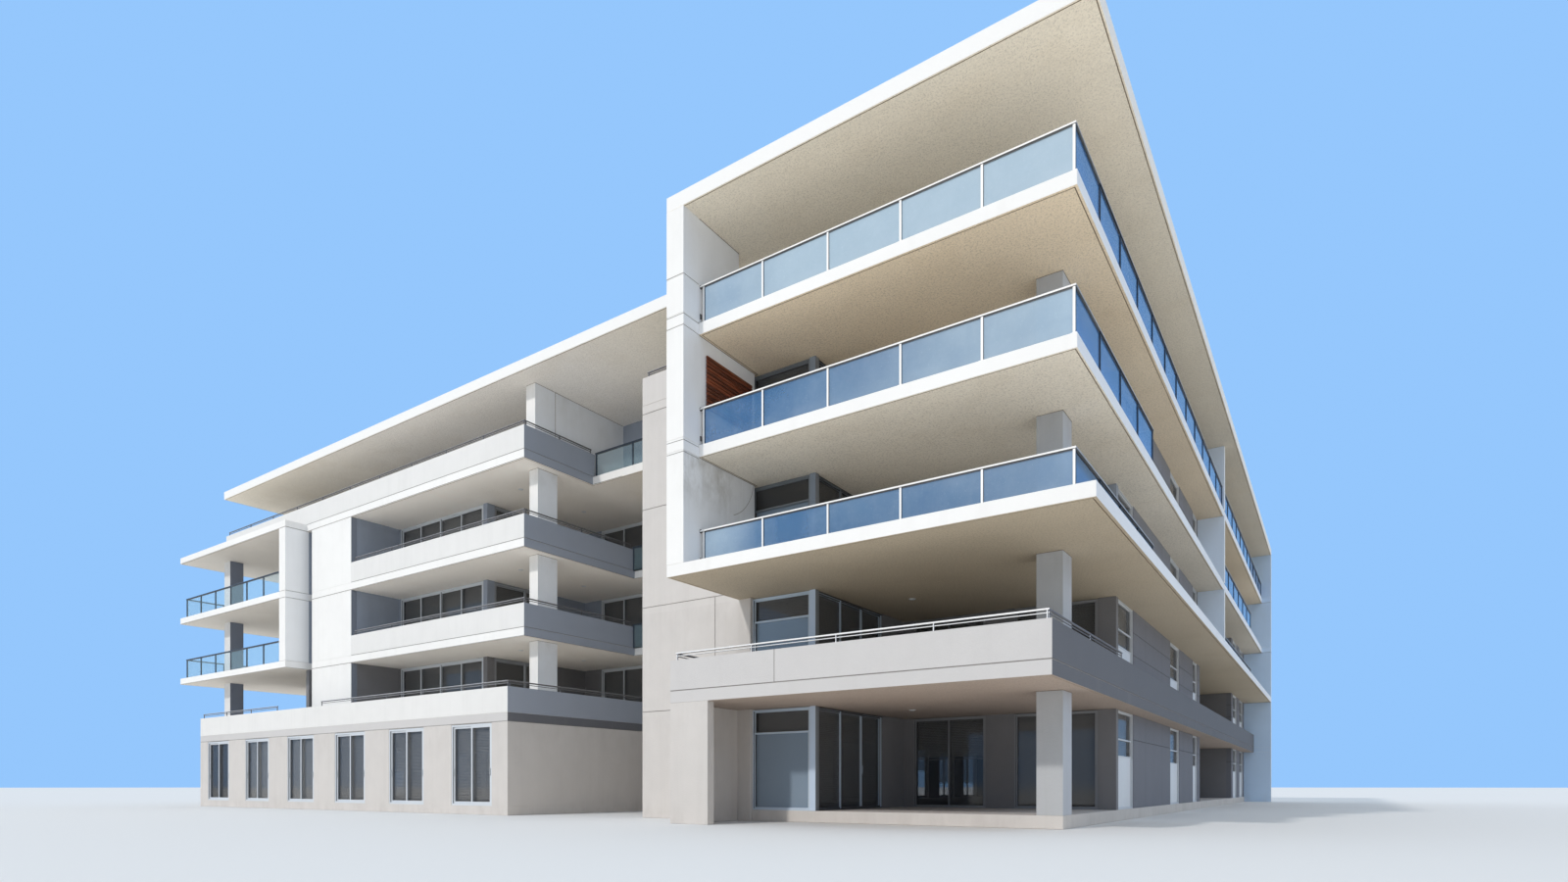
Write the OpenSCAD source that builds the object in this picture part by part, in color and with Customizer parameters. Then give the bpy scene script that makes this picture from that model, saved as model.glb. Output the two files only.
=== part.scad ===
// Apartment block of five storeys on an L-shaped plan, modelled at half size.
// All lengths are millimetres of the model, so 500 mm here is 1 m on the real block.
// X runs right along the front, Y runs back, Z runs up.

/* [Storeys] */
// Height from one floor slab to the next
storey_h = 1525; // [1450:5:1650]
// Thickness of a floor slab
slab_t = 150; // [130:5:170]
// Underside of the top slab to underside of the roof
top_storey_h = 1455; // [1400:5:1600]
// Thickness of the roof plate
roof_t = 185; // [150:5:220]
// Thickness of an outer wall
wall_t = 125; // [100:5:140]
// Thickness of a window pane
glass_t = 12; // [8:1:16]

/* [Overall plan] */
// Length of the front, from the right end to the left balcony bay
front_len = 22560; // [22300:20:23000]
// Length of the right side, from the portal to the end wall
side_len = 21800; // [21400:20:22200]
// Depth of the left wing at its back wall
wing_back_y = 8750; // [8400:50:9200]
// Distance of the court wall from the right end
court_x = 7950; // [7700:50:8300]

/* [Portal frame] */
// Width of the portal frame
portal_w = 5105; // [5000:5:5200]
// Thickness of the upright fin
fin_t = 275; // [220:5:300]
// Depth of the fin under the top slab
fin_depth = 1475; // [1400:5:1500]
// Depth of the fin on the top storey
fin_top_depth = 1120; // [900:10:1300]
// Set-back of the upper balcony slabs behind the portal front
balcony_front = 290; // [240:5:340]
// Set-back of the upper balcony slabs behind the portal side
balcony_side = 240; // [200:5:300]

/* [Near block] */
// Left end of the panelled wall
panel_left = 6925; // [6600:25:7200]
// Right end of the panelled wall
panel_right = 4905; // [4880:5:4950]
// Height of the panelled wall above the top slab's underside
panel_top = 520; // [450:10:600]
// Distance of the corner room's side glazing from the right end
room_x = 3885; // [3600:5:4100]
// Front of the wall at the back of the corner balconies
recess_y = 4150; // [3900:10:4400]
// Outer face of the long side wall, from the right end
side_x = 725; // [650:5:800]
// Front of the corner room's glazing
room_y = 1525; // [1480:5:1560]
// Back end of the corner room's side glazing
room_glass_end = 3425; // [3200:25:3600]
// Left side of the corner column, from the right end
column_left = 1000; // [980:5:1020]
// Width of the corner column
column_w = 290; // [250:5:320]
// Front of the corner column
column_front = 1520; // [1450:5:1600]
// Depth of the corner column
column_d = 350; // [300:5:400]
// Front of the first floor parapet
ledge_front = 230; // [180:5:280]
// Set-back of the first floor parapet from the right end
ledge_side = 455; // [400:5:500]
// Left end of the first floor parapet
ledge_left = 5250; // [5200:10:5400]
// Blade wall between the two long bays
blade_y = 11735; // [11500:5:12000]
// Thickness of blade walls and of the end wall
blade_t = 150; // [120:5:180]
// Middle of the window half-way along the side
long_mid = 8890; // [8600:10:9200]
// Start of the second balcony recess on the long side
second_start = 12050; // [12000:10:12200]
// Length of that recess
second_len = 6100; // [5800:50:6300]
// Depth of that recess
second_depth = 1225; // [1000:25:1500]

/* [Left wing] */
// Front face of the wing's wall and upper parapets
wing_y = 1555; // [1500:5:1600]
// Front face of the wing's first floor parapet
podium_y = 900; // [850:10:950]
// Right end of the wing's upper parapets
wing_right = 9765; // [9600:5:9900]
// Right end of the wing's first floor parapet
podium_right = 9350; // [9300:10:9500]
// Distance of the wing's body from the left end of the front
wing_in = 1710; // [1600:10:1900]
// Distance of the top terrace's parapet from the left end of the front
terrace_in = 1460; // [1350:10:1550]
// Left end of the solid white wall
white_left = 16915; // [16800:5:17000]
// Right end of the solid white wall
white_right = 15300; // [15200:10:15400]
// Window wall of the loggias
loggia_y = 2620; // [2500:10:2700]
// Where the loggia's window wall turns back
loggia_x = 12225; // [12000:5:12500]
// Left side of the loggia column
wing_column_left = 10175; // [10100:5:10200]
// Width of the loggia column
wing_column_w = 225; // [200:5:260]
// Front of the loggia column
wing_column_front = 2000; // [1950:5:2100]
// Depth of the loggia column
wing_column_d = 435; // [400:5:460]
// Window wall between the wing and the near block
court_front_y = 5180; // [5000:10:5300]
// Front edge of the slabs that bridge between wing and near block
bridge_y = 4225; // [4100:5:4300]
// Front edge of the same slab on the top storey
bridge_top_y = 3125; // [3000:5:3250]
// Height of the wing's parapets above the slab's underside
parapet_h = 570; // [500:10:620]
// Height of the first floor parapet above the slab's underside
ledge_h = 540; // [480:10:600]
// Thickness of a parapet
parapet_t = 100; // [80:5:120]

/* [Balcony bay] */
// Front of the balcony bay at the wing's left end
bay_y = 1100; // [1050:5:1200]
// Back of the slabs that reach past the wing's end
bay_back = 4500; // [4200:50:5000]
// Left side of the bay's fin
bay_fin_left = 17400; // [17350:5:17500]
// Depth of the bay's fin
bay_fin_depth = 495; // [470:5:520]
// Glazed wall at the back of the bay
bay_wall_y = 3500; // [3300:10:3700]
// Depth of the open slot beside the fin
slot_y = 2150; // [2000:10:2300]
// Distance of the bay column from the left end of the front
bay_column_in = 1085; // [1000:5:1200]
// Width of the bay column
bay_column_w = 320; // [280:5:350]
// Front of the bay column
bay_column_front = 1665; // [1600:5:1750]
// Depth of the bay column
bay_column_d = 300; // [260:5:350]

/* [Top storey] */
// Front wall of the top storey
attic_y = 3000; // [2900:25:3100]
// Front wall of the top storey between the two parts
attic_court_y = 4050; // [3900:25:4100]
// Right wall of the top storey, from the right end
attic_x = 1950; // [1700:25:2200]
// Set-back of the top storey from the back and court walls
attic_back = 550; // [400:25:700]
// Distance of the top storey's left wall from the left end of the front
attic_in = 2560; // [2200:20:2900]
// Front edge of the roof over the wing
roof_wing_y = 1485; // [1400:5:1550]
// Overhang of the roof past the back and court walls
roof_over = 550; // [400:10:700]
// Front of the white blade beside the top terrace
terrace_blade_y = 1900; // [1800:10:2000]
// Thickness of that blade
terrace_blade_t = 240; // [200:5:280]

/* [Balustrades] */
// Height of the glass balustrades above the slab
rail_h = 465; // [440:5:520]
// Side of a balustrade post
post_w = 20; // [16:1:26]
// Thickness of balustrade glass
bal_glass_t = 8; // [6:1:10]
// Distance from slab edge to the middle of the glass
edge_in = 35; // [30:1:60]
// Height of the tube rail above a parapet
tube_h = 105; // [90:1:120]
// Radius of the tube rail
tube_r = 12; // [10:1:15]

/* [Hidden] */

clear_h = storey_h - slab_t;
roof_z = 4 * storey_h + top_storey_h;
attic_h = roof_z - 4 * storey_h - slab_t;
end_y = side_len - blade_t;
fin_in = portal_w - fin_t;
column_right = column_left - column_w;
panel_back = fin_depth + wall_t;
second_end = second_start + second_len;
wing_left = front_len - wing_in;
terrace_left = front_len - terrace_in;
attic_left = front_len - attic_in;
bay_fin_right = bay_fin_left - fin_t;
bay_fin_back = bay_y + bay_fin_depth;
bay_column_left = front_len - bay_column_in;
slab_over = 250;
slab_back = wing_back_y + slab_over;
slab_court = court_x + slab_over;
groove_w = 8;
groove_d = 6;
post_s = 90;
pane_in = 50;
jamb = 50;
wide_w = 1700;
window_w = 1100;

// Moves the near front corner so that the origin is under the middle of the plan
module place() translate([front_len / 2, -side_len / 2, 0]) children();

// Extrudes a plan over the clear height of every storey from first to last
module storeys(first, last)
  for (k = [first:last])
    translate([0, 0, k * storey_h + slab_t]) linear_extrude(clear_h) children();

// Extrudes a plan over the clear height of the top storey
module attic() translate([0, 0, 4 * storey_h + slab_t]) linear_extrude(attic_h) children();

// Extrudes a floor plan as slab number k
module slab(k) translate([0, 0, k * storey_h]) linear_extrude(slab_t) children();

// Wall plan along X with its front face at y, less the window gaps
module run_x(xa, xb, y, gaps = [], t = wall_t)
  difference() {
    translate([xa, y]) square([xb - xa, t]);
    for (g = gaps) translate([g[0], y - 1]) square([g[1] - g[0], t + 2]);
  }

// Wall plan along Y with its left face at x, less the window gaps
module run_y(ya, yb, x, gaps = [], t = wall_t)
  difference() {
    translate([x, ya]) square([t, yb - ya]);
    for (g = gaps) translate([x - 1, g[0]]) square([t + 2, g[1] - g[0]]);
  }

// Pane plans in the gaps of a wall along X or along Y
module panes_x(y, gaps) for (g = gaps) translate([g[0], y]) square([g[1] - g[0], glass_t]);
module panes_y(x, gaps) for (g = gaps) translate([x, g[0]]) square([glass_t, g[1] - g[0]]);

// Evenly spaced gaps of width w between a and b
function even_gaps(a, b, n, w) =
  let (pitch = (b - a) / n) [for (i = [0:n - 1]) [a + pitch * (i + 0.5) - w / 2,
                                                  a + pitch * (i + 0.5) + w / 2]];

// Window gaps of each wall
long_w = 980;
near_front_gap = [[-panel_right, -room_x - post_s]];
near_side_gap = [[room_y + post_s, room_glass_end]];
recess_gaps = even_gaps(-room_x - jamb, -side_x - jamb / 2, 2, 1160);
long_windows = concat(
  [[recess_y + wall_t, recess_y + wall_t + long_w],
   [long_mid - long_w / 2, long_mid + long_w / 2], [blade_y - 660, blade_y - jamb]],
  even_gaps(second_end, end_y, 2, long_w));
long_gaps = concat(long_windows, [[second_start, second_end]]);
second_gaps = even_gaps(second_start, second_end, 3, wide_w);
loggia_gap = [[-white_right + jamb, -loggia_x - wall_t]];
loggia_side_gap = [[loggia_y + wall_t + jamb, (loggia_y + 2 * court_front_y) / 3]];
bridge_gaps = even_gaps(-loggia_x + 2 * wall_t, -panel_left, 2, 2000);
bay_gaps = even_gaps(-wing_left, -white_left, 2, wide_w);
back_gaps = even_gaps(-wing_left, -court_x, 7, window_w);
court_gaps = even_gaps(wing_back_y, end_y, 7, window_w);
left_gaps = even_gaps(bay_back, wing_back_y, 2, window_w);
podium_gaps = even_gaps(-wing_left, -podium_right, 6, window_w);

// Parts of the plan that several slabs share: round the back, and at the panelled wall
court_edge = [[-slab_court, end_y], [-slab_court, slab_back]];
panel_edge = [[-panel_left, panel_back], [-panel_right, panel_back], [-panel_right, fin_depth]];

wing_edge = [[-terrace_left, slab_back], [-terrace_left, wing_y]];
slot_edge = [[-bay_fin_right, slot_y], [-white_left, slot_y], [-white_left, wing_y],
  [-wing_right, wing_y]];
balcony_edge = [[-fin_in, balcony_front], [-balcony_side, balcony_front],
  [-balcony_side, end_y]];

module ground_slab() color("darkgray") place() slab(0) polygon([
  [-panel_right, room_y], [-column_right, room_y], [-column_right, end_y],
  [-court_x, end_y], [-court_x, wing_back_y], [-wing_left, wing_back_y],
  [-wing_left, podium_y], [-podium_right, podium_y], [-podium_right, bridge_y],
  [-panel_left, bridge_y], [-panel_left, panel_back], [-panel_right, panel_back]]);

module first_slab() color("gainsboro") place() slab(1) polygon(concat(
  [[-ledge_left, ledge_front], [-ledge_side, ledge_front], [-ledge_side, end_y]],
  court_edge,
  [[-wing_left, slab_back], [-wing_left, podium_y], [-podium_right, podium_y],
   [-podium_right, bridge_y], [-panel_left, bridge_y]],
  panel_edge, [[-ledge_left, fin_depth]]));

module second_slab() color("white") place() slab(2) polygon(concat(
  [[-portal_w, 0], [0, 0], [0, end_y]], court_edge, wing_edge,
  [[-bay_fin_right, wing_y]], slot_edge, [[-wing_right, bridge_y], [-panel_left, bridge_y]],
  panel_edge, [[-portal_w, fin_depth]]));

module third_slab() color("white") place() slab(3) polygon(concat(
  balcony_edge, court_edge, wing_edge,
  [[-bay_fin_left, wing_y], [-bay_fin_left, bay_fin_back], [-bay_fin_right, bay_fin_back]],
  slot_edge, [[-wing_right, bridge_y], [-panel_left, bridge_y]],
  panel_edge, [[-fin_in, fin_depth]]));

module fourth_slab() color("white") place() slab(4) polygon(concat(
  balcony_edge, court_edge, wing_edge,
  [[-wing_right, wing_y], [-wing_right, bridge_top_y], [-panel_left, bridge_top_y]],
  panel_edge, [[-fin_in, fin_depth]]));

// Plates of the balcony bay, which reach forward and past the wing's left end
module bay_slab() color("white") place() for (k = [2:4])
  slab(k) let (x = k == 3 ? -bay_fin_left : -bay_fin_right) polygon([
    [-front_len, bay_y], [x, bay_y], [x, wing_y], [-terrace_left, wing_y],
    [-terrace_left, bay_back], [-front_len, bay_back]]);

module roof_slab() color("white") place() translate([0, 0, roof_z]) linear_extrude(roof_t)
  let (court = -court_x - roof_over, back = wing_back_y + roof_over, left = -terrace_left + jamb)
    polygon([[-portal_w, 0], [0, 0], [0, side_len], [court, side_len], [court, back],
      [left, back], [left, roof_wing_y], [-portal_w, roof_wing_y]]);

// Upright fin that closes the portal: a side profile with its step at the top storey
module portal_fin() color("white") place() difference() {
  translate([-portal_w, 0, 0]) rotate([90, 0, 90]) linear_extrude(fin_t) polygon([
    [0, 2 * storey_h + slab_t], [fin_depth, 2 * storey_h + slab_t],
    [fin_depth, 4 * storey_h + slab_t], [fin_top_depth, 4 * storey_h + slab_t],
    [fin_top_depth, roof_z], [0, roof_z]]);
  for (z = [3 * storey_h, 3 * storey_h + slab_t, 4 * storey_h, 4 * storey_h + slab_t,
            4 * storey_h + slab_t + rail_h]) {
    translate([-portal_w - 1, -1, z]) cube([fin_t + 2, groove_d + 1, groove_w]);
    for (x = [-portal_w - 1, -fin_in - groove_d])
      translate([x, -1, z]) cube([groove_d + 1, fin_depth + 2, groove_w]);
  }
}

module bay_fin() color("white") place() difference() {
  translate([-bay_fin_left, bay_y, 2 * storey_h + slab_t])
    cube([fin_t, bay_fin_depth, 2 * storey_h - slab_t]);
  for (z = [3 * storey_h, 3 * storey_h + slab_t]) {
    translate([-bay_fin_left - 1, bay_y - 1, z]) cube([fin_t + 2, groove_d + 1, groove_w]);
    translate([-bay_fin_right - groove_d, bay_y - 1, z])
      cube([groove_d + 1, bay_fin_depth + 2, groove_w]);
  }
}

// Tall panelled wall with its open joints, up to the terrace parapet
panel_joints = [storey_h + 60, 2 * storey_h + 100, 3 * storey_h + 50, 4 * storey_h - 35,
  4 * storey_h + 95];
panel_joint_in = 1400;

module panel_wall() color("lightgray") place() difference() {
  translate([-panel_left, fin_depth, 0])
    cube([panel_left - panel_right, wall_t, 4 * storey_h + panel_top]);
  for (z = panel_joints)
    translate([-panel_left - 1, fin_depth - 1, z])
      cube([panel_left - panel_right + 2, groove_d + 1, groove_w]);
  translate([-panel_left + panel_joint_in, fin_depth - 1, panel_joints[0]])
    cube([groove_w, groove_d + 1, panel_joints[1] - panel_joints[0]]);
}

// Left flank of the room block behind the panelled wall
module panel_block_wall() color("lightgray") place() {
  storeys(0, 3) run_y(panel_back, court_front_y, -panel_left);
  translate([-panel_left, panel_back, 4 * storey_h + slab_t])
    cube([wall_t, bridge_top_y - panel_back, panel_top - slab_t]);
}

module near_column() color("silver") place() storeys(0, 3)
  translate([-column_left, column_front]) square([column_w, column_d]);

module wing_column() color("white") place() storeys(1, 3)
  translate([-wing_column_left, wing_column_front]) square([wing_column_w, wing_column_d]);

module bay_column() color("silver") place() {
  storeys(2, 3) bay_column_plan();
  linear_extrude(2 * storey_h) bay_column_plan();
}
module bay_column_plan() translate([-bay_column_left, bay_column_front])
  square([bay_column_w, bay_column_d]);

// Short wall at ground level under the left end of the first floor parapet
pier_w = 610;
module ground_pier() color("lightgray") place() linear_extrude(storey_h) {
  translate([-ledge_left, ledge_front]) square([pier_w, wall_t]);
  translate([-ledge_left, ledge_front]) square([wall_t, fin_depth - ledge_front]);
}

module corner_post() color("silver") place() storeys(0, 3)
  translate([-room_x - post_s, room_y]) square(post_s);

module recess_side_wall() color("gray") place() storeys(0, 3)
  run_y(room_glass_end, recess_y, -room_x - wall_t);

module recess_back_wall() color("gray") place() storeys(0, 3)
  run_x(-room_x - wall_t, -side_x, recess_y, recess_gaps);

module long_side_wall() color("gray") place() storeys(0, 3)
  run_y(recess_y + wall_t, end_y, -side_x - wall_t, long_gaps);

module second_recess_wall() color("gray") place() {
  storeys(0, 3) run_y(second_start, second_end, -side_x - second_depth - wall_t, second_gaps);
  storeys(0, 3) for (y = [second_start - wall_t, second_end])
    run_x(-side_x - second_depth - wall_t, -side_x - wall_t, y);
}

// Blade walls that part the two bays, from the portal slab up to the roof
blade_right = balcony_side - 15;
module blade_wall() color("white") place() {
  storeys(2, 3) run_x(-side_x, -blade_right, blade_y, t = blade_t);
  attic() run_x(-attic_x, -blade_right, blade_y, t = blade_t);
}

module end_wall() color("white") place() difference() {
  translate([-slab_court, end_y, 0]) cube([slab_court, blade_t, roof_z]);
  for (k = [1:4]) for (z = [k * storey_h, k * storey_h + slab_t]) {
    translate([-slab_court - 1, side_len - groove_d, z])
      cube([slab_court + 2, groove_d + 1, groove_w]);
    translate([-side_x, end_y - 1, z]) cube([side_x + 1, groove_d + 1, groove_w]);
  }
}

// First floor parapet of the near block, round the corner and along the side
module near_parapet() color("lightgray") place()
  translate([0, 0, storey_h + slab_t]) linear_extrude(ledge_h - slab_t) {
    translate([-ledge_left, ledge_front]) square([ledge_left - ledge_side, parapet_t]);
    translate([-ledge_side - parapet_t, ledge_front]) square([parapet_t, end_y - ledge_front]);
    translate([-ledge_left, ledge_front]) square([parapet_t, fin_depth - ledge_front]);
  }

module podium_wall() color("lightgray") place() storeys(0, 0) {
  run_x(-wing_left, -podium_right, podium_y, podium_gaps);
  run_y(podium_y, court_front_y, -podium_right - wall_t);
  run_y(podium_y, wing_back_y - wall_t, -wing_left, left_gaps);
}

module parapet_angle(xa, xb, y, yr) {
  translate([xa, y]) square([xb - xa, parapet_t]);
  translate([xb - parapet_t, y]) square([parapet_t, yr - y]);
}

module podium_parapet() color("lightgray") place()
  translate([0, 0, storey_h + slab_t]) linear_extrude(parapet_h - slab_t) {
    parapet_angle(-wing_left, -podium_right, podium_y, bridge_y - jamb);
    translate([-wing_left, podium_y]) square([parapet_t, bay_wall_y - podium_y]);
  }

module wing_parapet() color("white") place() for (k = [2, 3])
  translate([0, 0, k * storey_h + slab_t]) linear_extrude(parapet_h - slab_t)
    parapet_angle(-white_right, -wing_right, wing_y, bridge_y - jamb);

module terrace_parapet() color("white") place()
  translate([0, 0, 4 * storey_h + slab_t]) linear_extrude(parapet_h - slab_t) {
    parapet_angle(-terrace_left, -wing_right, wing_y, bridge_top_y + jamb);
    translate([-terrace_left, wing_y]) square([parapet_t, slab_back - wing_y]);
  }

module white_wall_panels() color("white") place() storeys(1, 3)
  run_x(-white_left, -white_right, wing_y);

// Walls of the loggias that run along the front
module loggia_front_wall() color("gray") place() {
  storeys(1, 3) run_x(-white_right - wall_t, -loggia_x, loggia_y, loggia_gap);
  storeys(0, 3) run_x(-loggia_x - wall_t, -panel_left + wall_t, court_front_y, bridge_gaps);
  storeys(1, 3) run_x(-wing_left, -white_left, bay_wall_y, bay_gaps);
  storeys(1, 3) run_x(-bay_fin_right, -white_left, slot_y);
}

// Walls of the loggias that run back
module loggia_side_wall() color("gray") place() {
  storeys(1, 3) run_y(wing_y + wall_t, loggia_y, -white_right - wall_t);
  storeys(1, 3) run_y(wing_y + wall_t, bay_wall_y + wall_t, -white_left);
  storeys(1, 3) run_y(loggia_y + wall_t, court_front_y, -loggia_x - wall_t, loggia_side_gap);
  storeys(1, 3) run_y(bay_fin_back, slot_y + wall_t, -bay_fin_right - wall_t);
}

module wing_left_wall() color("white") place() storeys(1, 3)
  run_y(bay_wall_y + wall_t, wing_back_y - wall_t, -wing_left, left_gaps);

module back_wall() color("white") place() storeys(0, 3)
  run_x(-wing_left, -court_x + wall_t, wing_back_y - wall_t, back_gaps);

module court_wall() color("white") place() storeys(0, 3)
  run_y(wing_back_y, end_y, -court_x, court_gaps);

// Set-back walls of the top storey and their window gaps
blade_left = wing_right + 375;
attic_front_gaps = even_gaps(-attic_left, -blade_left, 4, wide_w);
attic_near_gaps = even_gaps(-panel_left + wall_t, -attic_x, 2, wide_w);
attic_court_gaps = even_gaps(-blade_left, -panel_left, 1, wide_w);
attic_side_gaps = even_gaps(bridge_top_y, end_y, 7, wide_w);
attic_back_gaps = even_gaps(-attic_left, -court_x + attic_back, 6, window_w);
attic_yard_gaps = even_gaps(wing_back_y - attic_back, end_y, 7, window_w);
attic_end_gaps = even_gaps(attic_y, wing_back_y - attic_back, 2, window_w);

module attic_wall() color("gray") place() attic() {
  run_x(-attic_left, -blade_left, attic_y, attic_front_gaps);
  run_x(-blade_left, -panel_left + wall_t, attic_court_y, attic_court_gaps);
  run_y(bridge_top_y, attic_court_y, -panel_left);
  run_x(-panel_left + wall_t, -attic_x, bridge_top_y, attic_near_gaps);
  run_y(bridge_top_y + wall_t, end_y, -attic_x - wall_t, attic_side_gaps);
  run_x(-attic_left, -court_x + attic_back, wing_back_y - attic_back - wall_t, attic_back_gaps);
  run_y(wing_back_y - attic_back, end_y, -court_x + attic_back - wall_t, attic_yard_gaps);
  run_y(attic_y + wall_t, wing_back_y - attic_back - wall_t, -attic_left, attic_end_gaps);
}

// White blade beside the top terrace of the wing
module terrace_blade() color("white") place() attic()
  translate([-blade_left, terrace_blade_y])
    square([terrace_blade_t, attic_court_y - terrace_blade_y]);

// Panes stand back from the outer face of their wall, here for walls that look right
pane_right = pane_in + glass_t;

module near_glazing() color("skyblue", 0.5) place() storeys(0, 3) {
  panes_x(room_y + pane_in, near_front_gap);
  panes_y(-room_x - pane_right, near_side_gap);
  panes_x(recess_y + pane_in, recess_gaps);
}

module side_glazing() color("skyblue", 0.5) place() storeys(0, 3) {
  panes_y(-side_x - pane_right, long_windows);
  panes_y(-side_x - second_depth - pane_right, second_gaps);
}

module wing_glazing() color("skyblue", 0.5) place() {
  storeys(1, 3) {
    panes_x(loggia_y + pane_in, loggia_gap);
    panes_y(-loggia_x - pane_right, loggia_side_gap);
    panes_x(bay_wall_y + pane_in, bay_gaps);
  }
  storeys(0, 3) {
    panes_x(court_front_y + pane_in, bridge_gaps);
    panes_y(-wing_left + pane_in, left_gaps);
  }
  storeys(0, 0) panes_x(podium_y + pane_in, podium_gaps);
}

module rear_glazing() color("skyblue", 0.5) place() storeys(0, 3) {
  panes_x(wing_back_y - pane_right, back_gaps);
  panes_y(-court_x + pane_in, court_gaps);
}

module attic_glazing() color("skyblue", 0.5) place() attic() {
  panes_x(attic_y + pane_in, attic_front_gaps);
  panes_x(attic_court_y + pane_in, attic_court_gaps);
  panes_x(bridge_top_y + pane_in, attic_near_gaps);
  panes_y(-attic_x - pane_right, attic_side_gaps);
  panes_x(wing_back_y - attic_back - pane_right, attic_back_gaps);
  panes_y(-court_x + attic_back - pane_right, attic_yard_gaps);
  panes_y(-attic_left + pane_in, attic_end_gaps);
}

// Each balustrade run is [slab number, start, end, bays]
near_y = balcony_front + edge_in;
near_x = balcony_side + edge_in;
near_end = recess_y - post_w / 2;
near_left = fin_in - 60;
half_post = post_w / 2;
blade_back = blade_y + blade_t + half_post;
second_rail = second_end + post_w;
bay_rail_x = front_len - 280;
bay_rail_y = bay_y + 50;
bay_rail_back = bay_back - 50;
bridge_left = wing_right - half_post;
bridge_right = panel_left + half_post;
bridge_rail_y = bridge_y - edge_in;
bridge_top_rail_y = bridge_top_y + 80;
runs = concat(
  [for (k = [2, 3, 4]) [k, [-near_x, near_y], [-near_left, near_y], 5]],
  [for (k = [2, 3]) [k, [-near_x, near_y], [-near_x, near_end], 4]],
  [for (k = [2, 3]) [k, [-near_x, near_end], [-side_x - post_w, near_end], 1]],
  [[4, [-near_x, near_y], [-near_x, blade_y - half_post], 12]],
  [[4, [-near_x, blade_back], [-near_x, end_y - half_post], 11]],
  [for (k = [2, 3]) [k, [-near_x, blade_back], [-near_x, second_rail], 6]],
  [for (k = [2, 3]) [k, [-near_x, second_rail], [-side_x + half_post, second_rail], 1]],
  [for (k = [2, 3]) [k, [-bay_rail_x, bay_rail_y], [-bay_fin_left - half_post, bay_rail_y], 6]],
  [for (k = [2, 3]) [k, [-bay_rail_x, bay_rail_y], [-bay_rail_x, bay_rail_back], 4]],
  [for (k = [2, 3]) [k, [-bay_rail_x, bay_rail_back],
                     [-wing_left - half_post, bay_rail_back], 2]],
  [for (k = [2, 3]) [k, [-bridge_left, bridge_rail_y], [-bridge_right, bridge_rail_y], 3]],
  [[1, [-podium_right + half_post, bridge_rail_y], [-bridge_right, bridge_rail_y], 3]],
  [[4, [-bridge_left + 1, bridge_top_rail_y], [-bridge_right, bridge_top_rail_y], 3]]);

// Turns a run's own axis to lie along X for its children
module along(p, q) translate(p) rotate([0, 0, atan2(q[1] - p[1], q[0] - p[0])]) children();
function len_of(r) = norm(r[2] - r[1]);
function top_of(r) = r[0] * storey_h + slab_t;
// A run that starts at another run's corner post leaves that post to it
function shared(i) = len([for (j = [0:1:i - 1]) if (runs[j][0] == runs[i][0]
  && (runs[j][1] == runs[i][1] || runs[j][2] == runs[i][1])) 1]) > 0 ? 1 : 0;

handrail_w = 26;
handrail_t = 14;
glass_foot = 30;

module balcony_posts() color("silver") place() for (i = [0:len(runs) - 1])
  let (r = runs[i], step = len_of(r) / r[3]) along(concat(r[1], top_of(r)), concat(r[2], 0))
    for (n = [shared(i):r[3]])
      translate([n * step - half_post, -half_post, 0])
        cube([post_w, post_w, rail_h - handrail_t]);

module balcony_glass() color("lightcyan", 0.5) place() for (r = runs)
  let (step = len_of(r) / r[3]) along(concat(r[1], top_of(r)), concat(r[2], 0))
    for (n = [0:r[3] - 1])
      translate([n * step + half_post, -bal_glass_t / 2, glass_foot])
        cube([step - post_w, bal_glass_t, rail_h - 2.5 * glass_foot]);

module balcony_handrail() color("silver") place() for (i = [0:len(runs) - 1])
  let (r = runs[i], a = handrail_w / 2 * (shared(i) == 1 ? 1 : -1) + shared(i))
    along(concat(r[1], top_of(r)), concat(r[2], 0))
      translate([a, -handrail_w / 2, rail_h - handrail_t])
        cube([len_of(r) - a + half_post, handrail_w, handrail_t]);

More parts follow.
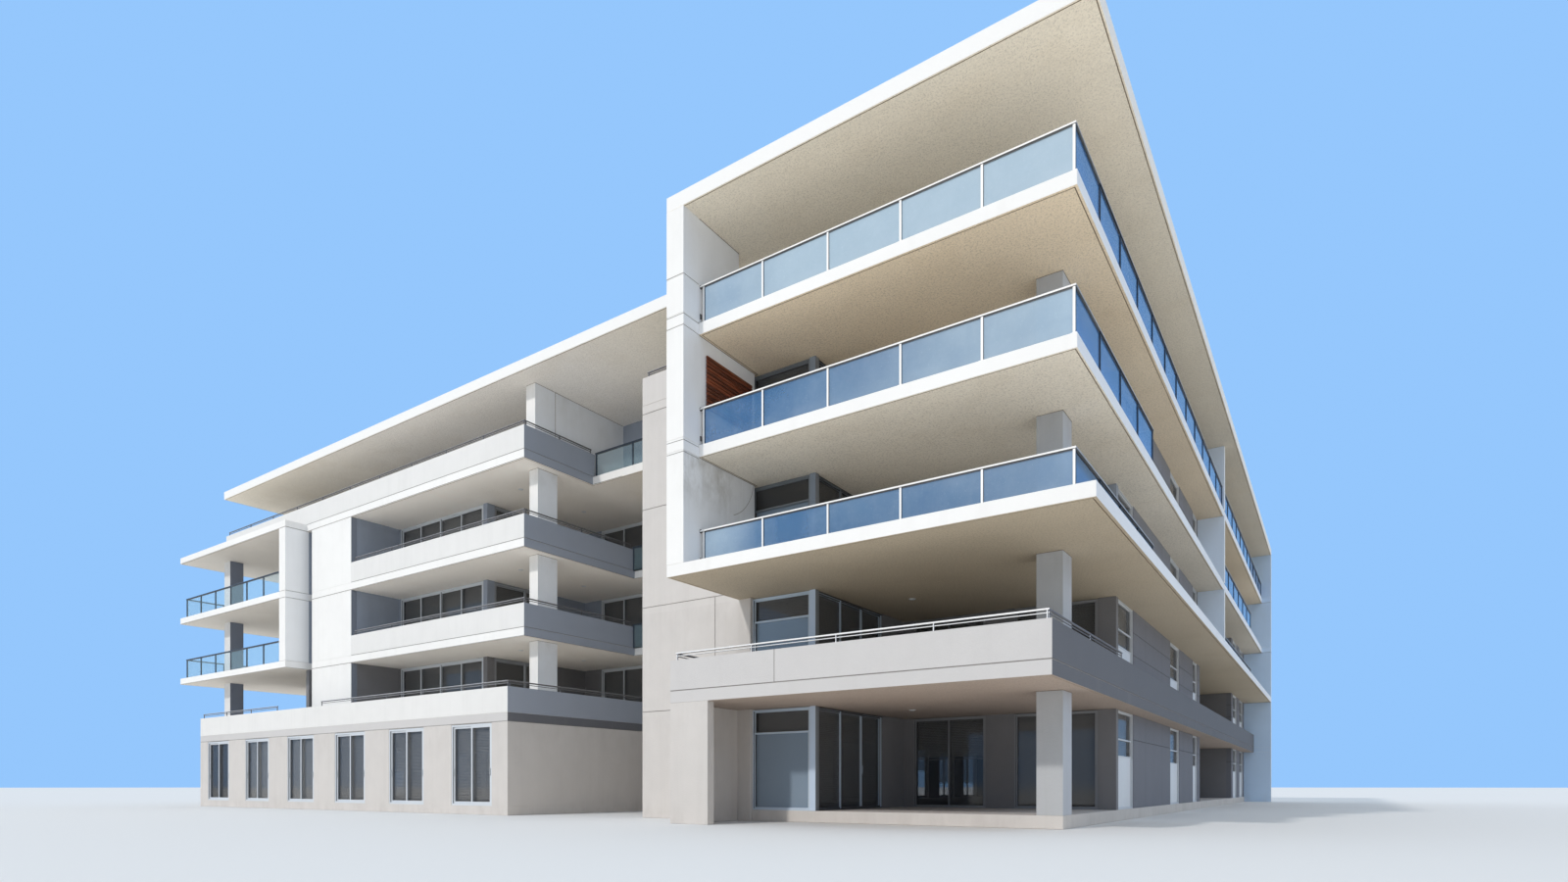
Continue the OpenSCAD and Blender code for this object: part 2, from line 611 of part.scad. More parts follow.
// Tube rails on the parapets: [height of the parapet top, start, end, posts]
ledge_top = storey_h + ledge_h;
podium_top = storey_h + parapet_h;
half_p = parapet_t / 2;
tube_in = half_p - tube_r;
tube_on = half_p + tube_r + 1;
tube_end = 60;
tube_foot = 20;
ledge_rail_y = ledge_front + half_p;
ledge_rail_x = ledge_side + half_p;
podium_rail_y = podium_y + half_p;
podium_rail_x = podium_right + half_p;
wing_rail_y = wing_y + half_p;
wing_rail_x = wing_right + half_p;
terrace_top = 4 * storey_h + parapet_h;
tubes = concat(
  [[ledge_top, [-ledge_left + tube_end, ledge_rail_y], [-ledge_side - tube_in, ledge_rail_y], 5],
   [ledge_top, [-ledge_rail_x, ledge_front + tube_on], [-ledge_rail_x, room_glass_end], 3],
   [ledge_top, [half_p - ledge_left, ledge_front + tube_on],
    [half_p - ledge_left, fin_depth - tube_end], 2],
   [4 * storey_h + panel_top, [-panel_left + tube_end, fin_depth + tube_end],
    [-portal_w - tube_end, fin_depth + tube_end], 3],
   [podium_top, [-wing_left + tube_end, podium_rail_y], [-bay_fin_right, podium_rail_y], 4],
   [podium_top, [-white_right, podium_rail_y], [-podium_right - tube_in, podium_rail_y], 6],
   [podium_top, [-podium_rail_x, podium_y + tube_on], [-podium_rail_x, bridge_y - tube_end], 4],
   [terrace_top, [-terrace_left + tube_end, wing_rail_y], [-wing_right - tube_in, wing_rail_y], 11],
   [terrace_top, [-wing_rail_x, wing_y + tube_on], [-wing_rail_x, bridge_top_y], 3]],
  [for (k = [2, 3]) [k * storey_h + parapet_h, [-white_right + tube_end, wing_rail_y],
    [-wing_right - tube_in, wing_rail_y], 5]],
  [for (k = [2, 3]) [k * storey_h + parapet_h, [-wing_rail_x, wing_y + tube_on],
    [-wing_rail_x, bridge_y - tube_end], 3]]);

module tube_rails() color("silver") place() for (t = tubes)
  let (l = norm(t[2] - t[1]), n = t[3]) along(concat(t[1], t[0]), concat(t[2], 0)) {
    translate([0, 0, tube_h - tube_r]) rotate([0, 90, 0]) cylinder(r = tube_r, h = l, $fn = 24);
    translate([0, 0, 0.55 * tube_h]) rotate([0, 90, 0])
      cylinder(r = tube_r / 2, h = l, $fn = 16);
    for (i = [0:n - 1]) translate([tube_foot + i * (l - 2 * tube_foot) / (n - 1), 0, 0])
      cylinder(r = 0.75 * tube_r, h = tube_h - tube_r, $fn = 20);
  }

// Timber screen on the fin's inner face
screen_y = [420, 1380];
screen_z = [4 * storey_h - 875, 4 * storey_h - 200];
module timber_screen() color("sienna") place() translate([-fin_in, screen_y[0], screen_z[0]])
  cube([30, screen_y[1] - screen_y[0], screen_z[1] - screen_z[0]]);

ground_slab();
first_slab();
second_slab();
third_slab();
fourth_slab();
roof_slab();
bay_slab();
portal_fin();
bay_fin();
panel_wall();
panel_block_wall();
near_column();
wing_column();
bay_column();
ground_pier();
corner_post();
recess_back_wall();
recess_side_wall();
long_side_wall();
second_recess_wall();
blade_wall();
end_wall();
near_parapet();
podium_wall();
podium_parapet();
wing_parapet();
terrace_parapet();
white_wall_panels();
loggia_front_wall();
loggia_side_wall();
wing_left_wall();
back_wall();
court_wall();
attic_wall();
terrace_blade();
near_glazing();
side_glazing();
wing_glazing();
rear_glazing();
attic_glazing();
balcony_posts();
balcony_glass();
balcony_handrail();
tube_rails();
timber_screen();
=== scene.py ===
import math
import random

import bmesh
import bpy
from mathutils import Matrix, Vector


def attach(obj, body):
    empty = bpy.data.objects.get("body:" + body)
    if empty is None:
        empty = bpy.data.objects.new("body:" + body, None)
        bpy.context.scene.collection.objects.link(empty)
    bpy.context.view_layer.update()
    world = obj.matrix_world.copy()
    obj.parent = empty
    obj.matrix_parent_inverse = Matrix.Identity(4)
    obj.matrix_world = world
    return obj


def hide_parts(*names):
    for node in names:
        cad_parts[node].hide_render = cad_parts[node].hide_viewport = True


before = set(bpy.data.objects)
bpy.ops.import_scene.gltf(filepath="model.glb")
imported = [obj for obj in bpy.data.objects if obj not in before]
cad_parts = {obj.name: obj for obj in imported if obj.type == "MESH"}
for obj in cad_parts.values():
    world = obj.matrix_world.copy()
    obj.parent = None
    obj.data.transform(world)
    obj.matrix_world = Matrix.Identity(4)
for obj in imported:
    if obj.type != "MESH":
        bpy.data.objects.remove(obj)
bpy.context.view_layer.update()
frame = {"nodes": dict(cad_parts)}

scene, nodes = bpy.context.scene, frame["nodes"]

# Sizes in metres from the near front corner of the plan, as the part's source has them
CORNER = Vector((11.28, -10.9, 0.0))
STOREY, SLAB, WALL = 1.525, 0.150, 0.125
ROOF_Z, ROOF_T = 4 * STOREY + 1.455, 0.185
FRONT, SIDE, END = 22.56, 21.80, 21.65
BACK, COURT = 9.00, 8.20
PORTAL, FIN_T, FIN_D = 5.105, 0.275, 1.475
FIN_IN = PORTAL - FIN_T
BALCONY_Y, BALCONY_X = 0.290, 0.240
PANEL_L, PANEL_R, PANEL_BACK = 6.925, 4.905, FIN_D + WALL
ROOM_X, ROOM_Y, ROOM_END = 3.885, 1.525, 3.425
RECESS_Y, SIDE_X = 4.150, 0.725
LEDGE_Y, LEDGE_X, LEDGE_L = 0.230, 0.455, 5.250
BLADE_Y, BLADE_T = 11.735, 0.150
SECOND_A, SECOND_B, SECOND_D = 12.050, 18.150, 1.225
WING_Y, WING_R, WING_L = 1.555, 9.765, 20.850
PODIUM_Y, PODIUM_R, TERRACE = 0.900, 9.350, 21.100
WHITE_L, WHITE_R = 16.915, 15.300
LOGGIA_Y, LOGGIA_X = 2.620, 12.225
COURT_FRONT, BRIDGE_Y, BRIDGE_TOP = 5.180, 4.225, 3.125
BAY_Y, BAY_BACK, BAY_WALL = 1.100, 4.500, 3.500
BAY_FIN_L, BAY_FIN_BACK, SLOT_Y = 17.400, 1.595, 2.150
BAY_FIN_R = BAY_FIN_L - FIN_T
ATTIC_Y, ATTIC_COURT, ATTIC_X, ATTIC_IN, ATTIC_L = 3.000, 4.050, 1.950, 0.550, 20.000
ATTIC_BLADE = WING_R + 0.375
WING_BACK, COURT_X = 8.750, 7.950
RAIL_H, POST, EDGE_IN = 0.465, 0.020, 0.035
TUBE_H, TUBE_R, PARAPET_T = 0.105, 0.012, 0.100
JOINT_HALF, NO_LIMIT = 0.0045, 9.0


# Shader building
class Wire:
    """A shader output that takes part in Python sums."""

    def __init__(self, shader, socket):
        self.shader, self.socket = shader, socket

    def sum(self, operation, other, swap=False):
        a, b = (other, self) if swap else (self, other)
        return self.shader.add("ShaderNodeMath", {"operation": operation}, {0: a, 1: b})

    def __add__(self, other):
        return self.sum("ADD", other)

    def __mul__(self, other):
        return self.sum("MULTIPLY", other)

    def __sub__(self, other):
        return self.sum("SUBTRACT", other)

    def __rsub__(self, other):
        return self.sum("SUBTRACT", other, swap=True)

    __radd__, __rmul__ = __add__, __mul__

    def above(self, limit):
        return self.sum("GREATER_THAN", limit)

    def below(self, limit):
        return self.sum("LESS_THAN", limit)

    def size(self):
        return self.sum("ABSOLUTE", 0.0)


class Shader:
    """A material's node tree, with one method for every kind of node."""

    def __init__(self, name, tree=None):
        if tree is None:
            self.material = bpy.data.materials.new(name)
            self.material.use_nodes = True
            tree = self.material.node_tree
            self.surface = tree.nodes["Principled BSDF"]
        self.tree = tree

    def feed(self, socket, value):
        if isinstance(value, Wire):
            self.tree.links.new(value.socket, socket)
        else:
            socket.default_value = (*value, 1.0) if socket.type == "RGBA" else value

    def add(self, kind, settings=None, values=None, out=0):
        node = self.tree.nodes.new(kind)
        for key, value in (settings or {}).items():
            setattr(node, key, value)
        for key, value in (values or {}).items():
            self.feed(node.inputs[key], value)
        return Wire(self, node.outputs[out])

    def place(self, stretch=(1, 1, 1)):
        spot = self.add("ShaderNodeTexCoord", out="Object")
        return self.add("ShaderNodeMapping", None, {"Vector": spot, "Scale": stretch})

    def noise(self, scale, detail=3.0, stretch=(1, 1, 1), rough=0.5):
        return self.add("ShaderNodeTexNoise", None, {"Vector": self.place(stretch), "Scale": scale,
                                                     "Detail": detail, "Roughness": rough})

    def facing(self, axis):
        normal = self.add("ShaderNodeNewGeometry", out="Normal")
        return self.add("ShaderNodeSeparateXYZ", None, {0: normal}, out=axis)

    def to_right(self):
        return self.facing("X").above(0.5)

    def spot(self, axis):
        """Object coordinate along an axis, counted from the near front corner of the plan."""
        place = self.add("ShaderNodeTexCoord", out="Object")
        return self.add("ShaderNodeSeparateXYZ", None, {0: place}, out=axis) - CORNER["XYZ".index(axis)]

    def line(self, axis, at, half=JOINT_HALF):
        return (self.spot(axis) - at).size().below(half)

    def storey_part(self):
        """Height above the underside of the slab below, in metres."""
        return self.add("ShaderNodeMath", {"operation": "MODULO"}, {0: self.spot("Z"), 1: STOREY})

    def ramp(self, value, low, high):
        return self.add("ShaderNodeMapRange", {"clamp": True},
                        {"Value": value, "From Min": low, "From Max": high})

    def mix(self, factor, a, b):
        return self.add("ShaderNodeMix", {"data_type": "RGBA"}, {0: factor, 6: a, 7: b}, out=2)

    def scaled(self, colour, value):
        return self.add("ShaderNodeVectorMath", {"operation": "SCALE"}, {0: colour, "Scale": value})

    def bump(self, height, distance, strength=1.0):
        return self.add("ShaderNodeBump", None,
                        {"Height": height, "Distance": distance, "Strength": strength})

    def finish(self, **sockets):
        for key, value in sockets.items():
            self.feed(self.surface.inputs[key.replace("_", " ")], value)
        return self.material


# The white of render, slab edges and rails
PALE = (0.90, 0.90, 0.90)


def times(colour, tint):
    return tuple(a * b for a, b in zip(colour, tint))


def any_of(masks):
    whole, *others = masks
    for mask in others:
        whole = whole.sum("MAXIMUM", mask)
    return whole


# Painted render: broad blotches, rain marks on upright faces, grime under the slabs, joints and sand
def painted(name, colour, dirt, blotch, rain, grime=0.20, side=None, joints=(), front=None, low=None,
            soiled=None):
    s = Shader(name)
    broad = s.ramp(s.noise(0.55, 5.0, rough=0.6), 0.30, 0.70)
    cloud = s.ramp(s.noise(3.2, 4.0), 0.35, 0.70)
    streak = s.ramp(s.noise(4.5, 7.0, (1, 1, 0.05), 0.72), 0.48, 0.80)
    smudge = s.ramp(s.noise(2.6, 5.0, (1, 1, 0.5), 0.65), 0.46, 0.78)
    upright = s.facing("Z").size().below(0.5)
    sand = s.noise(70.0, 4.0, rough=0.65)
    tone = 1.0 - blotch * (broad * 0.6 + cloud * 0.4) + 0.06 * (sand - 0.5)
    under_slab = s.ramp(s.storey_part(), 0.80, 1.50)
    splash = 1.0 - s.ramp(s.spot("Z"), 0.0, 0.30)
    marks = streak * rain + smudge * (under_slab * grime + splash * 0.35)
    # Faces that look right, front faces and the two lowest storeys can take colours of their own; the
    # materials below mostly use them as painted shade
    paint = colour if side is None else s.mix(s.to_right(), colour, side)
    if front is not None:
        paint = s.mix(s.facing("Y").below(-0.5), paint, front)
    if low is not None:
        paint = s.mix(s.spot("Z").below(2 * STOREY), paint, low)
    stained = s.mix(marks * upright, s.scaled(paint, tone), dirt)
    if soiled is not None:
        stained = s.mix(soiled(s), stained, s.scaled(dirt, 0.8))
    relief = sand
    if joints:
        cut = any_of([joint(s) for joint in joints])
        stained = s.mix(cut * upright * 0.85, stained, s.scaled(dirt, 0.55))
        relief = sand - cut * 3.0
    return s.finish(Base_Color=stained, Roughness=0.75 + 0.12 * (sand - 0.5), Normal=s.bump(relief, 0.004))


def level_joint(*heights, half=JOINT_HALF):
    """A joint line at each height."""
    def draw(s):
        return any_of([s.line("Z", z, half) for z in heights])
    return draw


def upright_joint(axis, at, low=0.0, high=NO_LIMIT):
    """An upright joint line between two heights."""
    def draw(s):
        return s.line(axis, at) * s.spot("Z").above(low) * s.spot("Z").below(high)
    return draw


# Portal fin: the arc of its crack, and its dark level lines: joints at the slabs, and one at handrail
# height
CRACK_Y, CRACK_Z, CRACK_R, CRACK_HALF, CRACK_FOOT = 0.756, 4.711, 0.707, 0.0045, 4.05
FIN_LINES, FIN_LINE_HALF = (4.555, 4.700, 6.105, 6.240, 6.730), 0.004


def fin_soiling(s):
    """Grey water stains and a curved crack on the inner face, below the third floor slab."""
    y, z = s.spot("Y"), s.spot("Z")
    inner = s.to_right() * z.above(2 * STOREY + SLAB) * z.below(3 * STOREY)
    drift = s.ramp(s.noise(3.0, 6.0, (1, 1, 0.6), 0.72), 0.40, 0.66)
    cloud = drift * s.ramp(z, 3.85, 4.30) * (1.0 - s.ramp(y, 0.75, 1.15))
    run = s.ramp(s.noise(9.0, 4.0, (1, 1, 0.06), 0.6), 0.50, 0.72) * s.ramp(z, 3.50, 4.45)
    from_crack = ((y - CRACK_Y) * (y - CRACK_Y) + (z - CRACK_Z) * (z - CRACK_Z)).sum("POWER", 0.5)
    crack = (from_crack - CRACK_R).size().below(CRACK_HALF) * z.above(CRACK_FOOT) * y.above(CRACK_Y)
    return inner * (cloud * 0.62 + run * 0.20).sum("MINIMUM", 0.8).sum("MAXIMUM", crack * 0.85)


def fin_lines(s):
    """Dark level lines from the front edge to the balcony slabs: joints at the slabs, and one at handrail
    height.
    """
    return level_joint(*FIN_LINES, half=FIN_LINE_HALF)(s) * s.spot("Y").below(BALCONY_Y)


# Soffits: stippled, with pebbles and specks that darken them, and stains
WING_SOFFIT, SOFFIT_STAIN = (0.97, 0.935, 0.89), (0.62, 0.55, 0.46)


def soffit_grain(s):
    """Stipple for the relief, and pebbles and specks for the colour."""
    stipple = s.noise(22.0, 6.0, rough=0.8)
    pebble = s.ramp(s.noise(40.0, 3.0, rough=0.7), 0.42, 0.62)
    speck = s.ramp(s.noise(58.0, 2.0, rough=0.6), 0.53, 0.62)
    return stipple, pebble, speck


# Slab finish: white edges, warm soffit, and floor tiles on top, with painted shade: the soffit darkens
# along the side and on the bay, edges that look right are bluer, and dark on the wing and along the first
# slab, and a painted shadow line runs under the wing's edges
TILE, TILE_TWO, TILE_JOINT = (0.70, 0.66, 0.60), (0.64, 0.605, 0.55), (0.36, 0.34, 0.31)
TILE_SIZE, TILE_GAP = 0.30, 0.004
EDGE_RAIN, DRIP_SHADOW, DRIP_SHADOW_H = (0.42, 0.40, 0.37), (0.16, 0.155, 0.15), 0.011
RIGHT_EDGE_SHADE_TINT, WING_SHADE_SIDE = (0.92, 0.98, 1.08), (0.35, 0.39, 0.47)
BAY_START = -16.5


def slab_finish(name, soffit, far_shade=0.0, edge=PALE, shade_side=WING_SHADE_SIDE, shade_before=-9.0):
    s = Shader(name)
    up = s.facing("Z")
    broad = s.ramp(s.noise(0.45, 5.0, rough=0.6), 0.30, 0.70)
    stipple, pebble, speck = soffit_grain(s)
    stain = s.ramp(s.noise(1.3, 5.0, rough=0.7), 0.52, 0.78)
    streak = s.ramp(s.noise(5.0, 4.0, (1, 1, 0.08)), 0.55, 0.80)
    wing = s.ramp(s.spot("X"), -7.0, -10.0)
    tiles = s.add("ShaderNodeTexBrick", {"offset": 0.0},
                  {"Vector": s.place(), "Color1": TILE, "Color2": TILE_TWO,
                   "Mortar": TILE_JOINT, "Scale": 1.0, "Mortar Size": TILE_GAP,
                   "Brick Width": TILE_SIZE, "Row Height": TILE_SIZE})
    tiles = s.scaled(tiles, 1.0 + 0.25 * wing)
    grain = (0.11 * pebble + 0.19 * speck) * (1.0 - wing * 0.7)
    # Painted shade: the soffit darkens along the long side and on the bay
    along_side = s.ramp(s.spot("Y"), 1.5, 9.0) * (1.0 - wing)
    bay = s.ramp(s.spot("X"), BAY_START, BAY_START - 1.0)
    under = s.scaled(s.mix(wing, soffit, WING_SOFFIT),
                     1.09 - 0.09 * broad - grain - along_side * far_shade - bay * 0.24)
    under = s.mix(stain * 0.22 * (1.0 - wing * 0.6), under, times(soffit, SOFFIT_STAIN))
    # Painted shade: edges that look right are bluer, and dark on the wing and along the first slab
    right = s.to_right()
    painted_shade = right * s.spot("X").below(shade_before) * s.spot("X").above(BAY_START)
    side = s.mix(painted_shade, s.mix(right * (1.0 - wing), edge, times(edge, RIGHT_EDGE_SHADE_TINT)), shade_side)
    side = s.mix(streak * 0.10, s.scaled(side, 1.0 - 0.06 * broad), EDGE_RAIN)
    # A painted shadow line: a dark strip along the bottom of the wing's slab edges
    drip = s.storey_part().below(DRIP_SHADOW_H) * s.spot("X").below(-9.0)
    side = s.mix(drip * 0.8, side, DRIP_SHADOW)
    colour = s.mix(up.below(-0.5), s.mix(up.above(0.5), side, tiles), under)
    return s.finish(Base_Color=colour, Roughness=0.78 + 0.10 * (stipple - 0.5),
                    Normal=s.bump(stipple * up.below(-0.5) + s.noise(80.0) * 0.3, 0.008, 0.8))


# Roof sheet: grey membrane above, warm soffit below that darkens along the side as painted shade, white
# edge
SHEET, SHEET_PUDDLE, ROOF_EDGE = (0.42, 0.43, 0.44), (0.30, 0.29, 0.27), (0.87, 0.87, 0.87)


def roof_finish(name, soffit):
    s = Shader(name)
    up = s.facing("Z")
    broad = s.ramp(s.noise(0.35, 5.0, rough=0.6), 0.30, 0.70)
    stipple, pebble, speck = soffit_grain(s)
    stain = s.ramp(s.noise(0.9, 6.0, (1, 1.6, 1), 0.65), 0.50, 0.76)
    puddle = s.ramp(s.noise(0.8, 5.0, rough=0.7), 0.50, 0.75)
    on_wing = s.ramp(s.spot("X"), -6.0, -9.0)
    wing = on_wing * (1.0 - s.ramp(s.spot("X"), -14.0, -19.0) * 0.7)
    # Painted shade: the soffit darkens along the long side
    along_side = s.ramp(s.spot("Y"), 2.0, 12.0) * (1.0 - on_wing)
    under = s.scaled(s.mix(wing, soffit, WING_SOFFIT),
                     1.09 - 0.09 * broad - 0.10 * pebble - 0.17 * speck - 0.36 * along_side)
    under = s.mix(stain * 0.20, under, times(soffit, SOFFIT_STAIN))
    sheet = s.mix(puddle * 0.5, s.scaled(SHEET, 1.0 - 0.15 * broad), SHEET_PUDDLE)
    colour = s.mix(up.below(-0.5), s.mix(up.above(0.5), ROOF_EDGE, sheet), under)
    return s.finish(Base_Color=colour, Roughness=0.75 + 0.1 * (stipple - 0.5),
                    Normal=s.bump(stipple, 0.006, 0.7))


# Satin metal with a faint drawn grain, and painted shade: dark on the faces that look right or down, all
# round on the wing, and on the upright faces along the long side from the second floor up
WING_START, SIDE_START, METAL_SPECULAR = -6.0, 1.25, 0.15


def drawn_metal(s, colour, rough, clouded, **more):
    drawn = s.noise(60.0, 3.0, (1, 1, 0.05))
    cloud = s.noise(1.5, 4.0)
    tone = 1.0 - 0.10 * (drawn - 0.5) - clouded * (cloud - 0.5)
    return s.finish(Base_Color=s.scaled(colour, tone), Roughness=rough + 0.12 * (cloud - 0.5),
                    Specular_IOR_Level=METAL_SPECULAR, Normal=s.bump(drawn, 0.0005), **more)


def metal(name, colour, painted_shade, wing, rough, metallic):
    s = Shader(name)
    shade_faces = s.to_right().sum("MAXIMUM", s.facing("Z").below(-0.55))
    on_wing = s.spot("X").below(WING_START)
    shade = s.mix(on_wing, painted_shade, wing)
    # Painted shadow: posts along the long side from the second floor up lie in the roof's shadow
    in_side_shadow = s.spot("Y").above(SIDE_START) * s.spot("Z").above(2 * STOREY)
    shade_faces = shade_faces.sum("MAXIMUM", on_wing.sum("MAXIMUM", in_side_shadow) * s.facing("Z").below(0.5))
    return drawn_metal(s, s.mix(shade_faces, colour, shade), rough, 0.10, Metallic=metallic)


# Handrails: white in front, with painted shade: pale grey to the right, dark below and darker still below
# beyond the first bay of the long side, and dark on the wing
RAIL_RIGHT_SHADE, RAIL_WING_SHADE = (0.36, 0.39, 0.44), (0.07, 0.09, 0.12)
RAIL_UNDER_SHADE, RAIL_UNDER_SHADE_FAR = (0.17, 0.18, 0.18), (0.010, 0.012, 0.016)


def handrail_finish(name):
    s = Shader(name)
    on_wing, far = s.spot("X").below(WING_START), s.spot("Y").above(SIDE_START)
    below = s.mix(far, RAIL_UNDER_SHADE, RAIL_UNDER_SHADE_FAR)
    colour = s.mix(s.to_right(), PALE, RAIL_RIGHT_SHADE)
    colour = s.mix(s.facing("Z").below(-0.55), colour, below)
    colour = s.mix(on_wing * s.facing("Z").below(0.5), colour, RAIL_WING_SHADE)
    return drawn_metal(s, colour, 0.42, 0.0)


# Powder-coated window frames, with colours for painted shade: from the second floor up, deep in the recess,
# and on faces that look right
def coated(name, colour, side=None, deep=None, high=None):
    s = Shader(name)
    coat = colour
    if high is not None:
        coat = s.mix(s.spot("Z").above(2 * STOREY), coat, high)
    if deep is not None:
        coat = s.mix(s.spot("Y").above(RECESS_Y - 0.2), coat, deep)
    if side is not None:
        coat = s.mix(s.to_right(), coat, side)
    cloud = s.noise(1.2, 4.0)
    peel = s.noise(180.0, 2.0)
    return s.finish(Base_Color=s.scaled(coat, 1.0 - 0.14 * (cloud - 0.5)),
                    Roughness=0.42 + 0.10 * (cloud - 0.5), Normal=s.bump(peel, 0.0004))


# Window glass with a tint, faint waves and a little dust, and a painted reflection that makes the lower
# part of the corner windows paler
DUST = (0.72, 0.74, 0.75)
CORNER_WINDOW_X, LOWER_SASH_TOP = -3.9, 1.19


def tinted(name, colour, clear, dusty, lower_reflection=None):
    s = Shader(name)
    dust = s.ramp(s.noise(2.2, 5.0, rough=0.7), 0.40, 0.80)
    smear = s.ramp(s.noise(7.0, 4.0, (1, 1, 0.15)), 0.50, 0.80)
    film = dust * 0.6 + smear * 0.4
    tint = s.mix(film * dusty, colour, DUST)
    cover = clear + film * dusty * 0.5
    if lower_reflection is not None:
        # Painted reflection: the lower panes of the corner windows are paler and more opaque
        low_part = s.spot("X").below(CORNER_WINDOW_X) * s.storey_part().below(LOWER_SASH_TOP)
        reflecting_pane = s.facing("Y").size().above(0.5) * low_part
        tint, cover = s.mix(reflecting_pane, tint, lower_reflection), cover + reflecting_pane * 0.35
    return s.finish(Base_Color=tint, Roughness=0.03 + 0.10 * film, Alpha=cover, Specular_IOR_Level=0.6,
                    Normal=s.bump(s.noise(0.9, 2.0), 0.004, 0.4))


# Balustrade glass: blue, with a painted reflection that pales it towards the near corner, at the left of
# the lower floors, in patches and on the top floor; deep blue on the side runs as painted reflection,
# darker at their top on the lower floors as painted shade; clear on bay and bridge
SIDE_REFLECTION_FOOT, SIDE_REFLECTION_HEAD, SIDE_SHADE = (0.020, 0.18, 0.56), (0.035, 0.14, 0.33), (0.012, 0.018, 0.032)
PANE_FILM = (0.78, 0.82, 0.85)


def balustrade_glass(name, deep, pale, clear):
    s = Shader(name)
    high = s.spot("Z").above(3 * STOREY)
    top = s.spot("Z").above(4 * STOREY)
    far = s.spot("X").below(WING_START)
    side_run = s.facing("X").size().above(0.5)
    # Painted reflection: the panes pale towards the near corner, at the left of the lower floors, in
    # patches and on the top floor
    near = s.ramp(s.spot("X"), -3.9, -0.9) * (0.5 + 0.5 * high)
    left = s.ramp(s.spot("X"), -3.4, -4.6) * (1.0 - high)
    reflection_patch = s.ramp(s.noise(0.75, 3.0, (1, 1, 0.7), 0.55), 0.38, 0.68)
    painted_reflection = (reflection_patch * 0.22 + near * 0.76 + left * 0.62 + top * 0.74).sum("MINIMUM", 1.0)
    painted_reflection = painted_reflection * (1.0 - side_run)
    foot = 1.0 - s.ramp(s.storey_part(), SLAB, SLAB + 0.16)
    dust = s.ramp(s.noise(3.0, 5.0, rough=0.7), 0.42, 0.80)
    run = s.ramp(s.noise(11.0, 3.0, (1, 1, 0.12), 0.6), 0.55, 0.85)
    drops = s.ramp(s.noise(60.0, 2.0, rough=0.6), 0.66, 0.72) * (1.0 - foot)
    film = (dust * 0.35 + run * 0.12 + foot * 0.25 + drops * 0.4) * (1.0 - far * 0.75)
    edge_on = s.add("ShaderNodeLayerWeight", None, {"Blend": 0.30}, out="Facing")
    height = s.ramp(s.storey_part(), SLAB + 0.05, SLAB + RAIL_H)
    # Side runs: deep blue as painted reflection, darker at the top on the lower floors as painted shade
    along_side = s.mix(height, SIDE_REFLECTION_FOOT, SIDE_REFLECTION_HEAD)
    shaded = s.ramp(s.storey_part(), SLAB + 0.30, SLAB + 0.38) * (1.0 - high)
    along_side = s.mix(shaded, along_side, SIDE_SHADE)
    tint = s.mix(far, s.mix(side_run, s.mix(painted_reflection, deep, pale), along_side), clear)
    cover = 0.50 + painted_reflection * 0.08 + film * 0.16 + edge_on * 0.16 + side_run * (edge_on * 0.55 - 0.25)
    return s.finish(Base_Color=s.mix(film * 0.28, tint, PANE_FILM), Roughness=0.03 + 0.03 * film,
                    Alpha=cover * (1.0 - far * 0.72), Specular_IOR_Level=0.38,
                    Normal=s.bump(s.noise(1.1, 2.0), 0.003, 0.4))


# Stained boards with grain along their length
STAIN_DARK, STAIN_LIGHT = (0.085, 0.020, 0.007), (0.24, 0.060, 0.022)


def boards(name):
    s = Shader(name)
    grain = s.noise(22.0, 6.0, (1, 0.06, 1.6), 0.65)
    board = s.ramp(s.noise(24.0, 1.0, (0.01, 0.06, 1.0)), 0.35, 0.65)
    tone = s.mix(s.ramp(grain, 0.30, 0.70), STAIN_DARK, STAIN_LIGHT)
    return s.finish(Base_Color=s.scaled(tone, 0.45 + 1.0 * board), Roughness=0.45 + 0.2 * grain,
                    Normal=s.bump(grain, 0.002, 0.6))


# Finishes of this block's pieces
LEDGE_GREY, LEDGE_SHADE_SIDE, WARM_GREY = (0.61, 0.60, 0.605), (0.145, 0.15, 0.17), (0.65, 0.625, 0.61)
SOOT, BROWN_DIRT = (0.45, 0.44, 0.42), (0.30, 0.27, 0.25)
UNDERSIDES = [k * STOREY for k in (2, 3, 4)]
SLAB_TOPS = [z + SLAB for z in UNDERSIDES]
# Joints lie this far from the edge that they follow
JOINT_OFF = 0.006
PANEL_LEVELS = (STOREY + 0.064, 2 * STOREY + 0.104, 3 * STOREY + 0.054, 4 * STOREY - 0.031)
PANEL_JOINT_X, LEDGE_JOINT_X = -PANEL_L + 1.404, -3.645
LONG_LEVELS, LONG_UPRIGHTS = (2.72, 2.39, 1.15, 4.24, 5.76), (6.155, 7.6, 9.9, 19.7)
# White paints: faces that look right are painted a little bluer, as painted shade
WHITE = painted("white_paint", PALE, SOOT, 0.05, 0.08, 0.35, side=(0.88, 0.915, 0.965))
PORTAL_WHITE = painted("portal_fin_paint", PALE, SOOT, 0.05, 0.08, 0.20, side=(0.90, 0.93, 0.98),
                       joints=(fin_lines,), soiled=fin_soiling)
FIN_WHITE = painted("bay_fin_paint", PALE, SOOT, 0.05, 0.08, 0.10, side=(0.95, 0.965, 0.985), joints=(
    level_joint(2 * STOREY + SLAB, *UNDERSIDES[1:], SLAB_TOPS[1]),))
# White walls: faces that look right are painted dark grey-blue, as painted shade
WALL_WHITE = painted("white_wall_paint", PALE, SOOT, 0.05, 0.08, 0.10, side=(0.22, 0.25, 0.31), joints=(
    level_joint(*UNDERSIDES), upright_joint("X", -WHITE_R + JOINT_OFF)))
